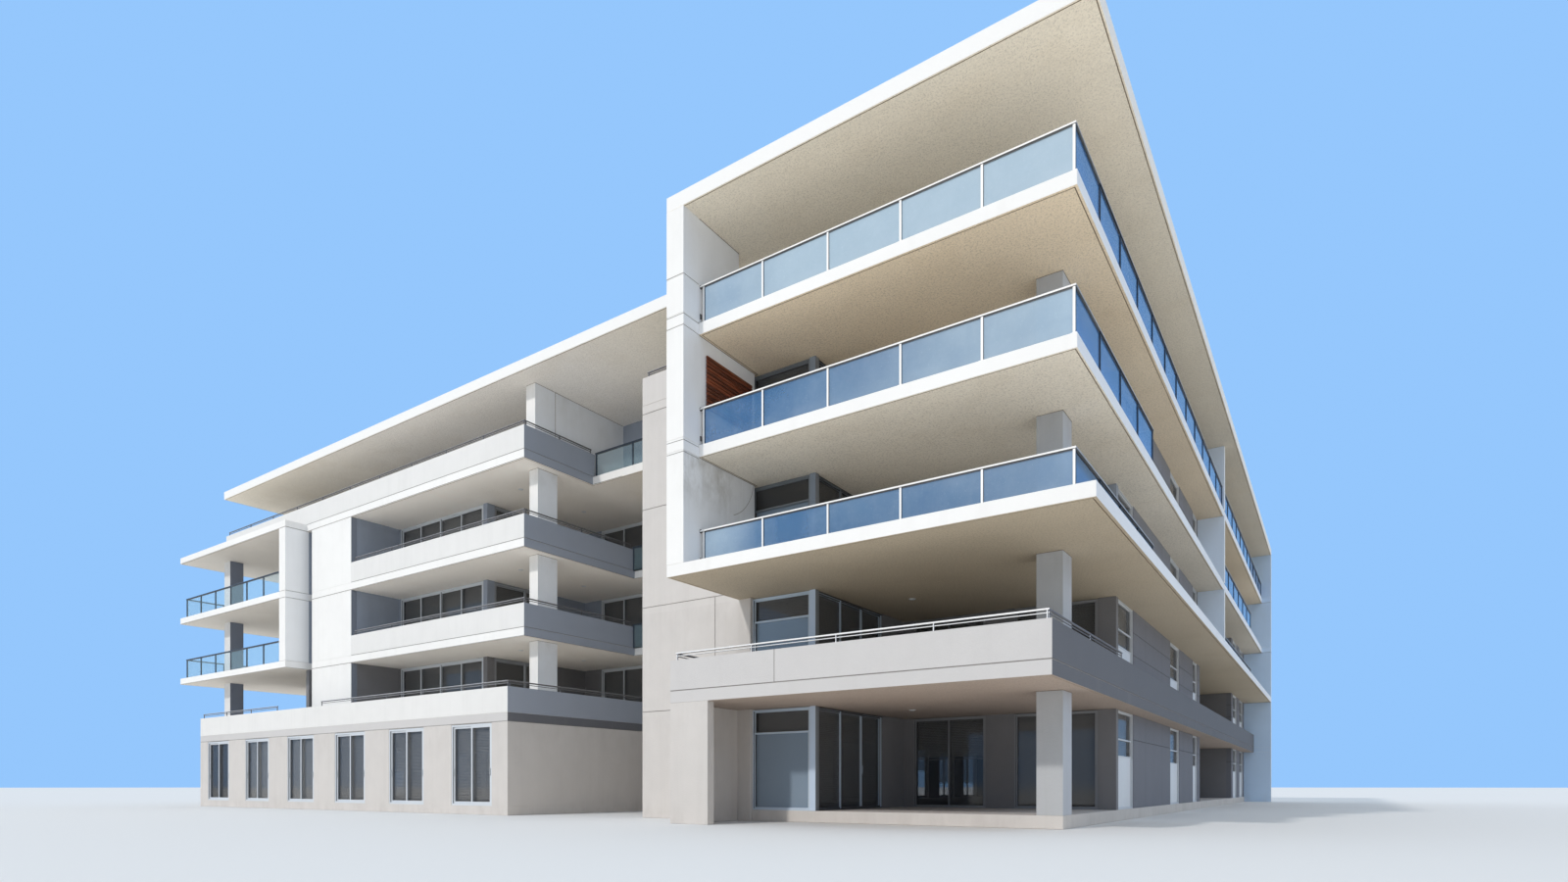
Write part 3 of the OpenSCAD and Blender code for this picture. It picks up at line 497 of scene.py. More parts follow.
# Blade and end wall: their fronts, which stand in shade, are painted blue, as painted shade lit by the sky
BLADE = painted("blade_paint", (0.82, 0.85, 0.90), SOOT, 0.05, 0.06, 0.10,
                front=(0.70, 0.81, 0.96))
END_WALL = painted("end_wall_paint", (0.84, 0.86, 0.90), SOOT, 0.05, 0.06, 0.10,
                   front=(0.58, 0.74, 0.95), joints=(level_joint(*UNDERSIDES),))
# Parapets: faces that look right are painted dark blue-grey, as painted shade
PARAPET = painted("parapet_paint", (0.80, 0.80, 0.80), (0.42, 0.42, 0.42), 0.06, 0.12,
                  side=WING_SHADE_SIDE, joints=(level_joint(*[z + JOINT_OFF for z in SLAB_TOPS]),))
WARM = painted("warm_grey_paint", WARM_GREY, BROWN_DIRT, 0.08, 0.12)
PANEL = painted("panel_wall_paint", WARM_GREY, BROWN_DIRT, 0.08, 0.12, joints=(
    level_joint(*PANEL_LEVELS), upright_joint("X", PANEL_JOINT_X, STOREY + 0.060, PANEL_LEVELS[1])))
# Near parapet: faces that look right are painted dark grey, as painted shade
LEDGE = painted("ledge_paint", LEDGE_GREY, BROWN_DIRT, 0.06, 0.05, side=LEDGE_SHADE_SIDE, joints=(
    level_joint(STOREY + SLAB + JOINT_OFF), upright_joint("X", LEDGE_JOINT_X)))
# Recess and loggia walls: grey painted blue as painted shade, and darker on the two lowest storeys, also
# painted shade
SHADED = painted("shade_tinted_grey_paint", (0.34, 0.39, 0.48), (0.15, 0.15, 0.15), 0.10, 0.10,
                 low=(0.22, 0.22, 0.235))
# Long side wall: painted a darker blue-grey than its own paint, as painted shade, and darker again on its
# two lowest storeys
LONG_WALL = painted("long_wall_paint", (0.215, 0.225, 0.26), (0.10, 0.10, 0.10), 0.08, 0.08,
                    low=(0.19, 0.195, 0.225),
                    joints=(level_joint(*LONG_LEVELS), *[upright_joint("Y", y) for y in LONG_UPRIGHTS]))
# Near columns: faces that look right are painted paler and bluer, as painted shade lit by the sky
COLUMN = painted("column_paint", (0.48, 0.50, 0.53), (0.26, 0.25, 0.25), 0.08, 0.20, 0.30,
                 side=(0.53, 0.57, 0.64))
# Bay column: faces that look right are painted dark blue-grey, as painted shade
BAY_COLUMN = painted("bay_column_paint", (0.78, 0.79, 0.81), (0.26, 0.25, 0.25), 0.08, 0.10, 0.30,
                     side=(0.19, 0.225, 0.30))
# Soffit colours differ by slab as painted shade: the first and second slab's soffits are much darker than
# the upper ones
FIRST_SLAB = slab_finish("first_slab_paint", (0.47, 0.39, 0.34), 0.0, LEDGE_GREY, LEDGE_SHADE_SIDE, 0.0)
SECOND_SLAB = slab_finish("second_slab_paint", (0.57, 0.495, 0.385))
THIRD_SLAB = slab_finish("third_slab_paint", (0.99, 0.92, 0.80), 0.30)
FOURTH_SLAB = slab_finish("fourth_slab_paint", (0.95, 0.81, 0.62), 0.24)
ROOFING = roof_finish("roof_sheet", (0.97, 0.895, 0.76))
# Metals: the dark colours they are given are painted shade, for the wing and for faces turned from the
# light
ALUMINIUM = metal("satin_aluminium", PALE, (0.018, 0.026, 0.040), RAIL_WING_SHADE, 0.42, 0.10)
HANDRAIL = handrail_finish("handrail_coat")
STEEL = metal("brushed_tube", (0.88, 0.88, 0.88), (0.14, 0.14, 0.16), (0.16, 0.16, 0.17), 0.38, 0.15)
BRACKET = coated("bracket_coat", (0.08, 0.08, 0.09))
# Window frames: faces that look right, frames deep in the recess and frames from the second floor up take
# darker colours as painted shade; the near frames' and the corner post's blue is a painted tint of sky
# light
NEAR_FRAMES = coated("near_frame_coat", (0.54, 0.64, 0.76), (0.065, 0.065, 0.07), (0.25, 0.26, 0.28),
                     (0.21, 0.235, 0.26))
SIDE_FRAMES = coated("side_frame_coat", (0.62, 0.65, 0.69))
FRAMES = coated("window_frame_coat", (0.62, 0.66, 0.71), (0.30, 0.32, 0.35))
PALE_FRAMES = coated("pale_panel_coat", (0.74, 0.77, 0.81))
POST_COAT = coated("corner_post_coat", (0.56, 0.68, 0.86), (0.22, 0.24, 0.27), high=(0.26, 0.31, 0.38))
WINDOW = tinted("window_glass", (0.06, 0.065, 0.075), 0.38, 0.06)
NEAR_WINDOW = tinted("near_window_glass", (0.06, 0.065, 0.075), 0.42, 0.06, (0.30, 0.39, 0.50))
BALUSTER = balustrade_glass("balustrade_glass", (0.02, 0.15, 0.39), (0.52, 0.68, 0.82), (0.40, 0.62, 0.72))
BLIND = coated("blind_slats", (0.72, 0.72, 0.71))
TIMBER = boards("stained_boards")
SEALANT = coated("joint_sealant", (0.22, 0.18, 0.15))
GROOVE = coated("drip_groove", (0.34, 0.26, 0.18))


# Mesh building
def shift(x, y, z):
    return Matrix.Translation((x, y, z))


def turn(degrees, axis):
    return Matrix.Rotation(math.radians(degrees), 4, axis)


def block(bm, low, high, place=None):
    low, high = Vector(low), Vector(high)
    verts = bmesh.ops.create_cube(bm, size=1.0)["verts"]
    bmesh.ops.scale(bm, verts=verts, vec=high - low)
    bmesh.ops.translate(bm, verts=verts, vec=(low + high) / 2)
    if place:
        bmesh.ops.transform(bm, matrix=place, verts=verts)


def disc(bm, radius, depth, place, segments=16, top=None):
    verts = bmesh.ops.create_cone(bm, cap_ends=True, segments=segments, radius1=radius,
                                  radius2=radius if top is None else top, depth=depth)["verts"]
    bmesh.ops.transform(bm, matrix=place, verts=verts)


def soften(bm, width, segments=1):
    bm.normal_update()
    sharp = [e for e in bm.edges if len(e.link_faces) == 2 and e.calc_face_angle() > 0.6]
    bmesh.ops.bevel(bm, geom=sharp, offset=width, offset_type="OFFSET", segments=segments,
                    profile=0.5, affect="EDGES", material=-1, clamp_overlap=True)


def piece(bm, name, material, replaced=()):
    bmesh.ops.translate(bm, verts=bm.verts, vec=CORNER)
    bmesh.ops.recalc_face_normals(bm, faces=bm.faces)
    mesh = bpy.data.meshes.new(name)
    bm.to_mesh(mesh)
    bm.free()
    for finish in material if isinstance(material, tuple) else (material,):
        mesh.materials.append(finish)
    made = bpy.data.objects.new(name, mesh)
    scene.collection.objects.link(made)
    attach(made, "root")
    if replaced:
        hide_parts(*replaced)


def facing(side, x, y, z):
    """Local X runs along a wall and local Y into it, for a wall that looks to that side."""
    return shift(x, y, z) @ turn({"front": 0, "right": 90, "back": 180, "left": -90}[side], "Z")


def join(bm, other):
    mesh = bpy.data.meshes.new("part")
    other.to_mesh(mesh)
    other.free()
    bm.from_mesh(mesh)
    bpy.data.meshes.remove(mesh)


def inset(bm, faces, thickness, depth=0.0):
    return bmesh.ops.inset_region(bm, faces=faces, thickness=thickness, depth=depth,
                                  use_even_offset=True)["faces"]


def pull(bm, faces, way):
    grown = bmesh.ops.extrude_face_region(bm, geom=faces)["geom"]
    bmesh.ops.translate(bm, verts=[g for g in grown if isinstance(g, bmesh.types.BMVert)], vec=way)


# Floor plates with rounded arrises, a drip groove below and, on the roof, a rim above
PLATE_ARRIS, GROOVE_W, GROOVE_SLOPE, GROOVE_D, RIM_D = 0.006, 0.010, 0.002, 0.010, 0.05


def plate(outline, low, thick, drip, rim=0.0):
    bm = bmesh.new()
    face = bm.faces.new([bm.verts.new((x, y, low)) for x, y in outline])
    pull(bm, [face], (0, 0, thick))
    bmesh.ops.recalc_face_normals(bm, faces=bm.faces)
    soften(bm, PLATE_ARRIS, 2)
    bm.normal_update()
    under = max((f for f in bm.faces if f.normal.z < -0.99), key=lambda f: f.calc_area())
    inset(bm, [under], drip)
    groove = inset(bm, [under], GROOVE_W)
    walls = inset(bm, groove, GROOVE_SLOPE, -GROOVE_D)
    for face in groove + walls:
        face.material_index = 1
    if rim:
        above = max((f for f in bm.faces if f.normal.z > 0.99), key=lambda f: f.calc_area())
        inset(bm, [above], rim)
        inset(bm, [above], 0.01, -RIM_D)
    return bm


BACK_EDGE = [(-COURT, END), (-COURT, BACK)]
BAY_EDGE = [(-TERRACE, BACK), (-TERRACE, BAY_BACK), (-FRONT, BAY_BACK), (-FRONT, BAY_Y)]
SLOT_EDGE = [(-BAY_FIN_R, SLOT_Y), (-WHITE_L, SLOT_Y), (-WHITE_L, WING_Y), (-WING_R, WING_Y)]
BRIDGE_EDGE = [(-WING_R, BRIDGE_Y), (-PANEL_L, BRIDGE_Y)]
PANEL_EDGE = [(-PANEL_L, PANEL_BACK), (-PANEL_R, PANEL_BACK), (-PANEL_R, FIN_D)]
BALCONY_EDGE = [(-FIN_IN, BALCONY_Y), (-BALCONY_X, BALCONY_Y), (-BALCONY_X, END)]
FIRST = ([(-LEDGE_L, LEDGE_Y), (-LEDGE_X, LEDGE_Y), (-LEDGE_X, END)] + BACK_EDGE
         + [(-WING_L, BACK), (-WING_L, PODIUM_Y), (-PODIUM_R, PODIUM_Y), (-PODIUM_R, BRIDGE_Y),
            (-PANEL_L, BRIDGE_Y)] + PANEL_EDGE + [(-LEDGE_L, FIN_D)])
SECOND = ([(-PORTAL, 0), (0, 0), (0, END)] + BACK_EDGE + BAY_EDGE + [(-BAY_FIN_R, BAY_Y)]
          + SLOT_EDGE + BRIDGE_EDGE + PANEL_EDGE + [(-PORTAL, FIN_D)])
THIRD = (BALCONY_EDGE + BACK_EDGE + BAY_EDGE
         + [(-BAY_FIN_L, BAY_Y), (-BAY_FIN_L, BAY_FIN_BACK), (-BAY_FIN_R, BAY_FIN_BACK)]
         + SLOT_EDGE + BRIDGE_EDGE + PANEL_EDGE + [(-FIN_IN, FIN_D)])
FOURTH = (BALCONY_EDGE + BACK_EDGE + BAY_EDGE
          + [(-BAY_FIN_R, BAY_Y), (-BAY_FIN_R, WING_Y), (-WING_R, WING_Y), (-WING_R, BRIDGE_TOP),
             (-PANEL_L, BRIDGE_TOP)] + PANEL_EDGE + [(-FIN_IN, FIN_D)])
ROOF_COURT, ROOF_BACK, ROOF_L, ROOF_Y = COURT_X + 0.55, WING_BACK + 0.55, TERRACE - 0.05, 1.485
ROOF = [(-PORTAL, 0), (0, 0), (0, SIDE), (-ROOF_COURT, SIDE), (-ROOF_COURT, ROOF_BACK),
        (-ROOF_L, ROOF_BACK), (-ROOF_L, ROOF_Y), (-PORTAL, ROOF_Y)]


# Distance of the drip groove from the edge: second to fourth slab, first slab, roof
DRIP_IN, FIRST_DRIP_IN, ROOF_DRIP_IN = (0.026, 0.012, 0.020), 0.020, 0.012
RIM_W, SEAMS, SEAM_HALF = 0.14, 17, 0.02


def floor_plates():
    bm = bmesh.new()
    for i, outline in enumerate((SECOND, THIRD, FOURTH)):
        made = plate(outline, UNDERSIDES[i], SLAB, DRIP_IN[i])
        for face in made.faces:
            face.material_index = 3 if face.material_index else i
        join(bm, made)
    piece(bm, "floor_plates", (SECOND_SLAB, THIRD_SLAB, FOURTH_SLAB, GROOVE),
          ("second_slab", "third_slab", "fourth_slab", "bay_slab"))
    piece(plate(FIRST, STOREY, SLAB, FIRST_DRIP_IN), "first_plate", (FIRST_SLAB, GROOVE),
          ("first_slab",))


def roof():
    bm = plate(ROOF, ROOF_Z, ROOF_T, ROOF_DRIP_IN, RIM_W)
    piece(bm, "roof_plate", (ROOFING, GROOVE), ("roof_slab",))
    seams = bmesh.new()
    top = ROOF_Z + ROOF_T - RIM_D
    for i in range(1, SEAMS + 1):
        y = i * SIDE / (SEAMS + 1)
        left = -COURT_X - 0.40 if y > WING_BACK + 0.4 else -TERRACE + 0.2
        start = -PORTAL + 0.2 if y < 1.6 else left
        block(seams, (start, y - SEAM_HALF, top - 0.002), (-0.16, y + SEAM_HALF, top + 0.006))
    soften(seams, 0.002)
    piece(seams, "roof_seams", ROOFING)


# Windows
def even_gaps(a, b, count, width):
    pitch = (b - a) / count
    middles = [a + pitch * (i + 0.5) for i in range(count)]
    return [(m - width / 2, m + width / 2) for m in middles]


def ring(bm, low, high, bar, front, back):
    """A rectangular frame of four mitred bars between two corners of a wall plane."""
    made = bmesh.new()
    corners = [(low[0], 0, low[1]), (high[0], 0, low[1]), (high[0], 0, high[1]), (low[0], 0, high[1])]
    face = made.faces.new([made.verts.new((x, front, z)) for x, y, z in corners])
    made.normal_update()
    edge = bmesh.ops.inset_individual(made, faces=[face], thickness=bar, use_even_offset=True)["faces"]
    bmesh.ops.delete(made, geom=[face], context="FACES")
    pull(made, edge, (0, back - front, 0))
    join(bm, made)


# Bar widths of the outer frame and the leaves, and half the height of a middle rail
BARS = {"near": (0.018, 0.020, 0.012), "side": (0.013, 0.015, 0.010), "wing": (0.030, 0.034, 0.018)}
HEAD_GAP = 0.008
# Depths in the wall: outer frame, front faces of even and odd leaves, and parts from a leaf's face
FRAME_FRONT, FRAME_BACK, LEAF_FRONTS, LEAF_T, LEAF_LAP = 0.008, 0.085, (0.030, 0.012), 0.019, 0.012
SASH_FRONT, SASH_BACK, INFILL_FRONT, INFILL_BACK = -0.008, 0.010, 0.006, 0.014
GRIP_W, GRIP_FRONT, GRIP_BACK, GRIP_LOW, GRIP_HIGH = 0.010, -0.010, 0.002, 0.50, 0.62


def window(bm, panels, place, width, height, leaves, rails, bars):
    """An outer frame, its leaves, and a closed panel below the lower of two rails."""
    bar, leaf_bar, rail = bars
    height -= HEAD_GAP
    made = bmesh.new()
    ring(made, (0.0, 0.0), (width, height), bar, FRAME_FRONT, FRAME_BACK)
    step = (width - 2 * bar) / leaves
    for i in range(leaves):
        front = LEAF_FRONTS[i % 2]
        a = bar + i * step - (LEAF_LAP if i else 0)
        b = bar + (i + 1) * step + (LEAF_LAP if i < leaves - 1 else 0)
        inner_a, inner_b = a + leaf_bar, b - leaf_bar
        ring(made, (a, bar), (b, height - bar), leaf_bar, front, front + LEAF_T)
        for z in rails:
            block(made, (inner_a, front, z - rail), (inner_b, front + LEAF_T, z + rail))
        if len(rails) == 1:
            ring(made, (a, bar), (b, min(rails) + rail), leaf_bar, front + SASH_FRONT, front + SASH_BACK)
        if len(rails) == 2:
            block(panels, (inner_a, front + INFILL_FRONT, bar),
                  (inner_b, front + INFILL_BACK, min(rails)), place)
        if leaves > 1:
            grip = b - leaf_bar * 0.65 if i % 2 else a + leaf_bar * 0.35
            block(made, (grip, front + GRIP_FRONT, GRIP_LOW),
                  (grip + GRIP_W, front + GRIP_BACK, GRIP_HIGH))
    bmesh.ops.transform(made, matrix=place, verts=made.verts)
    join(bm, made)


# Blinds: room at the sides, head box, bottom bar, and sheet or slats
BLIND_IN, BLIND_SHORT = 0.035, 0.10
BOX_TOP, BOX_FOOT, BOX_FRONT, BOX_BACK = 0.030, 0.060, 0.088, 0.115
WEIGHT_H, WEIGHT_FRONT, WEIGHT_BACK = 0.012, 0.086, 0.100
SHEET_FRONT, SHEET_BACK, SLAT_H, SLAT_PITCH = 0.092, 0.094, 0.018, 0.025


def blind(bm, place, width, height, share, slats):
    """Level slats or a rolled sheet that hangs down from the head, behind the glass."""
    a, b = BLIND_IN, width - BLIND_IN
    head = height - BOX_FOOT
    foot = head - share * (height - BLIND_SHORT)
    made = bmesh.new()
    block(made, (a, BOX_FRONT, head), (b, BOX_BACK, height - BOX_TOP))
    block(made, (a, WEIGHT_FRONT, foot - WEIGHT_H), (b, WEIGHT_BACK, foot))
    if slats:
        slat = bmesh.new()
        block(slat, (a, SHEET_FRONT, head - 0.001 - SLAT_H), (b, SHEET_BACK, head - 0.001))
        count = int((head - SLAT_PITCH - foot) / SLAT_PITCH)
        bmesh.ops.spin(slat, geom=slat.verts[:] + slat.edges[:] + slat.faces[:], angle=0.0,
                       axis=(0, 0, 1), dvec=(0, 0, -SLAT_PITCH), steps=count, use_duplicate=True)
        join(made, slat)
    else:
        block(made, (a, SHEET_FRONT, foot), (b, SHEET_BACK, head))
    bmesh.ops.transform(made, matrix=place, verts=made.verts)
    join(bm, made)


random.seed(7)
LONG_W, WIDE, PLAIN, CORNER_DOOR, COURT_DOOR, MULLION, ATTIC_H = 0.98, 1.7, 1.1, 1.16, 2.0, 0.05, 1.305
BLIND_SHARES, SLAT_SHARE = (0.0, 0.45, 0.70, 0.97, 0.97, 0.97), 0.75
LONG = [(RECESS_Y + WALL, RECESS_Y + WALL + LONG_W), (8.89 - LONG_W / 2, 8.89 + LONG_W / 2),
        (BLADE_Y - 0.66, BLADE_Y - 0.05)] + even_gaps(SECOND_B, END, 2, LONG_W)
FLATS, UPPER, ATTIC = (0, 1, 2, 3), (1, 2, 3), (4,)
# Name, side it looks to, outer face, gaps, storeys, leaves and rail heights
GLAZING = (
    ("near", "front", ROOM_Y, [(-PANEL_R, -ROOM_X - 0.09)], FLATS, 1, (1.045,)),
    ("near", "right", -ROOM_X, [(ROOM_Y + 0.09, ROOM_END)], FLATS, 3, ()),
    ("near", "front", RECESS_Y, even_gaps(-ROOM_X - MULLION, -SIDE_X - MULLION / 2, 2, CORNER_DOOR),
     FLATS, 2, ()),
    ("side", "right", -SIDE_X, LONG, FLATS, 1, (0.74, 0.975)),
    ("side", "right", -SIDE_X - SECOND_D, even_gaps(SECOND_A, SECOND_B, 3, WIDE), FLATS, 2, ()),
    ("wing", "front", LOGGIA_Y, [(-WHITE_R + MULLION, -LOGGIA_X - WALL)], UPPER, 4, ()),
    ("wing", "right", -LOGGIA_X, [(LOGGIA_Y + WALL + MULLION, (LOGGIA_Y + 2 * COURT_FRONT) / 3)],
     UPPER, 2, ()),
    ("wing", "front", BAY_WALL, even_gaps(-WING_L, -WHITE_L, 2, WIDE), UPPER, 2, ()),
    ("wing", "front", COURT_FRONT, even_gaps(-LOGGIA_X + 2 * WALL, -PANEL_L, 2, COURT_DOOR),
     FLATS, 3, ()),
    ("wing", "left", -WING_L, even_gaps(BAY_BACK, WING_BACK, 2, PLAIN), FLATS, 2, ()),
    ("wing", "front", PODIUM_Y, even_gaps(-WING_L, -PODIUM_R, 6, PLAIN), (0,), 2, ()),
    ("rear", "back", WING_BACK, even_gaps(-WING_L, -COURT_X, 7, PLAIN), FLATS, 2, ()),
    ("rear", "left", -COURT_X, even_gaps(WING_BACK, END, 7, PLAIN), FLATS, 2, ()),
    ("attic", "front", ATTIC_Y, even_gaps(-ATTIC_L, -ATTIC_BLADE, 4, WIDE), ATTIC, 2, ()),
    ("attic", "front", ATTIC_COURT, even_gaps(-ATTIC_BLADE, -PANEL_L, 1, WIDE), ATTIC, 2, ()),
    ("attic", "front", BRIDGE_TOP, even_gaps(-PANEL_L + WALL, -ATTIC_X, 2, WIDE), ATTIC, 2, ()),
    ("attic", "right", -ATTIC_X, even_gaps(BRIDGE_TOP, END, 7, WIDE), ATTIC, 2, ()),
    ("attic", "back", WING_BACK - ATTIC_IN, even_gaps(-ATTIC_L, -COURT_X + ATTIC_IN, 6, PLAIN),
     ATTIC, 2, ()),
    ("attic", "left", -COURT_X + ATTIC_IN, even_gaps(WING_BACK - ATTIC_IN, END, 7, PLAIN), ATTIC, 2, ()),
    ("attic", "left", -ATTIC_L, even_gaps(ATTIC_Y, WING_BACK - ATTIC_IN, 2, PLAIN), ATTIC, 2, ()),
)


def windows():
    frames = {n: bmesh.new() for n in ("near", "side", "wing", "rear", "attic")}
    blinds, panels = bmesh.new(), bmesh.new()
    for name, side, face, gaps, storeys, leaves, rails in GLAZING:
        for a, b in gaps:
            start = {"front": (a, face), "right": (face, a), "back": (b, face), "left": (face, b)}[side]
            for k in storeys:
                height = ATTIC_H if k == 4 else STOREY - SLAB
                place = facing(side, *start, k * STOREY + SLAB)
                bars = BARS.get(name, BARS["wing"])
                window(frames[name], panels, place, b - a, height, leaves, rails, bars)
                share = random.choice(BLIND_SHARES)
                if share:
                    blind(blinds, place, b - a, height, share, random.random() < SLAT_SHARE)
    coats = {"near": NEAR_FRAMES, "side": SIDE_FRAMES}
    for name, bm in frames.items():
        piece(bm, name + "_window_frames", coats.get(name, FRAMES))
    piece(blinds, "window_blinds", BLIND)
    piece(panels, "side_window_panels", PALE_FRAMES)


# Balustrades: each run is level, start, end and number of bays
NEAR_X, NEAR_Y = BALCONY_X + EDGE_IN, BALCONY_Y + EDGE_IN
HALF, RAIL_HALF = POST / 2, 0.022
BLADE_BACK, SECOND_RAIL = BLADE_Y + BLADE_T + HALF, SECOND_B + POST
BAY_X, BAY_RAIL_Y, BAY_RAIL_BACK = FRONT - 0.28, BAY_Y + 0.05, BAY_BACK - 0.05
NEAR_END = RECESS_Y - HALF
MIDDLE = (2, 3)
BRIDGE_LINE, TOP_BRIDGE_LINE, BRIDGE_END = BRIDGE_Y - EDGE_IN, BRIDGE_TOP + 0.08, -PANEL_L - HALF
RUNS = (
    [(k, (-NEAR_X, NEAR_Y), (-FIN_IN + 0.060, NEAR_Y), 5) for k in (2, 3, 4)]
    + [(k, (-NEAR_X, NEAR_Y), (-NEAR_X, NEAR_END), 4) for k in MIDDLE]
    + [(k, (-NEAR_X, NEAR_END), (-SIDE_X - POST, NEAR_END), 1) for k in MIDDLE]
    + [(4, (-NEAR_X, NEAR_Y), (-NEAR_X, BLADE_Y - HALF), 12),
       (4, (-NEAR_X, BLADE_BACK), (-NEAR_X, END - HALF), 11)]
    + [(k, (-NEAR_X, BLADE_BACK), (-NEAR_X, SECOND_RAIL), 6) for k in MIDDLE]
    + [(k, (-NEAR_X, SECOND_RAIL), (-SIDE_X + HALF, SECOND_RAIL), 1) for k in MIDDLE]
    + [(k, (-BAY_X, BAY_RAIL_Y), (-BAY_FIN_L - HALF, BAY_RAIL_Y), 6) for k in MIDDLE]
    + [(k, (-BAY_X, BAY_RAIL_Y), (-BAY_X, BAY_RAIL_BACK), 4) for k in MIDDLE]
    + [(k, (-BAY_X, BAY_RAIL_BACK), (-WING_L - HALF, BAY_RAIL_BACK), 2) for k in MIDDLE]
    + [(k, (-WING_R + HALF, BRIDGE_LINE), (BRIDGE_END, BRIDGE_LINE), 3) for k in MIDDLE]
    + [(1, (-PODIUM_R + HALF, BRIDGE_LINE), (BRIDGE_END, BRIDGE_LINE), 3),
       (4, (-WING_R + HALF + 0.001, TOP_BRIDGE_LINE), (BRIDGE_END, TOP_BRIDGE_LINE), 3)])


def along(start, end, z):
    way = math.atan2(end[1] - start[1], end[0] - start[0])
    return shift(*start, z) @ Matrix.Rotation(way, 4, "Z")


def shares_post(i):
    """Whether an earlier run on the same level already has the post at this run's start."""
    level, start = RUNS[i][:2]
    return any(run[0] == level and start in run[1:3] for run in RUNS[:i])


# Each balustrade's parts: post shaft and foot, pane, gaskets, handrail, and the flange on the fin
SHAFT_HALF, SHAFT_TOP, FOOT_X, FOOT_Y, FOOT_H = 0.013, RAIL_H - 0.012, 0.030, 0.026, 0.006
PANE_IN, PANE_HALF, PANE_FOOT, PANE_HEAD = 0.003, 0.003, 0.014, RAIL_H - 0.027
GASKET_IN, GASKET_OUT, GASKET_HALF, GASKET_FOOT, GASKET_HEAD = 0.005, 0.001, 0.006, 0.012, RAIL_H - 0.026
RAIL_T, CHANNEL_HALF, CHANNEL_FOOT, CHANNEL_HEAD = 0.020, 0.010, RAIL_H - 0.031, RAIL_H - 0.019
FRONT_BAYS, FIN_REACH, FLANGE_R, FLANGE_T = 5, 0.059, 0.024, 0.008


def balustrades():
    posts, rails, panes, seals = (bmesh.new() for _ in range(4))
    for i, (level, start, end, bays) in enumerate(RUNS):
        place = along(start, end, level * STOREY + SLAB)
        length = (Vector(end) - Vector(start)).length
        step, shared = length / bays, shares_post(i)
        for n in range(1 if shared else 0, bays + 1):
            x = n * step
            block(posts, (x - SHAFT_HALF, -SHAFT_HALF, 0.0), (x + SHAFT_HALF, SHAFT_HALF, SHAFT_TOP), place)
            block(posts, (x - FOOT_X, -FOOT_Y, 0.0), (x + FOOT_X, FOOT_Y, FOOT_H), place)
        for n in range(bays):
            a, b = n * step + HALF, (n + 1) * step - HALF
            for low, high in ((a - GASKET_OUT, a + GASKET_IN), (b - GASKET_IN, b + GASKET_OUT)):
                block(seals, (low, -GASKET_HALF, GASKET_FOOT), (high, GASKET_HALF, GASKET_HEAD), place)
            block(panes, (a + PANE_IN, -PANE_HALF, PANE_FOOT), (b - PANE_IN, PANE_HALF, PANE_HEAD), place)
        first = RAIL_HALF + 0.001 if shared else -RAIL_HALF
        meets_fin = bays == FRONT_BAYS
        last = length + (FIN_REACH if meets_fin else HALF)
        block(rails, (first, -RAIL_HALF, RAIL_H - RAIL_T), (last, RAIL_HALF, RAIL_H), place)
        block(seals, (first + 0.002, -CHANNEL_HALF, CHANNEL_FOOT),
              (length + HALF - 0.002, CHANNEL_HALF, CHANNEL_HEAD), place)
        if meets_fin:
            flange = place @ shift(last - FLANGE_T / 2, 0.0, RAIL_H - 0.007) @ turn(90, "Y")
            disc(seals, FLANGE_R, FLANGE_T, flange, 20)
            block(seals, (last - 0.010, -0.014, 0.06), (last, 0.014, 0.12), place)
    soften(posts, 0.0015)
    soften(rails, 0.004, 2)
    soften(panes, 0.001)
    piece(posts, "balustrade_posts", ALUMINIUM, ("balcony_posts",))
    piece(rails, "balustrade_handrails", HANDRAIL, ("balcony_handrail",))
    piece(panes, "balustrade_panes", BALUSTER, ("balcony_glass",))
    piece(seals, "balustrade_gaskets", BRACKET)


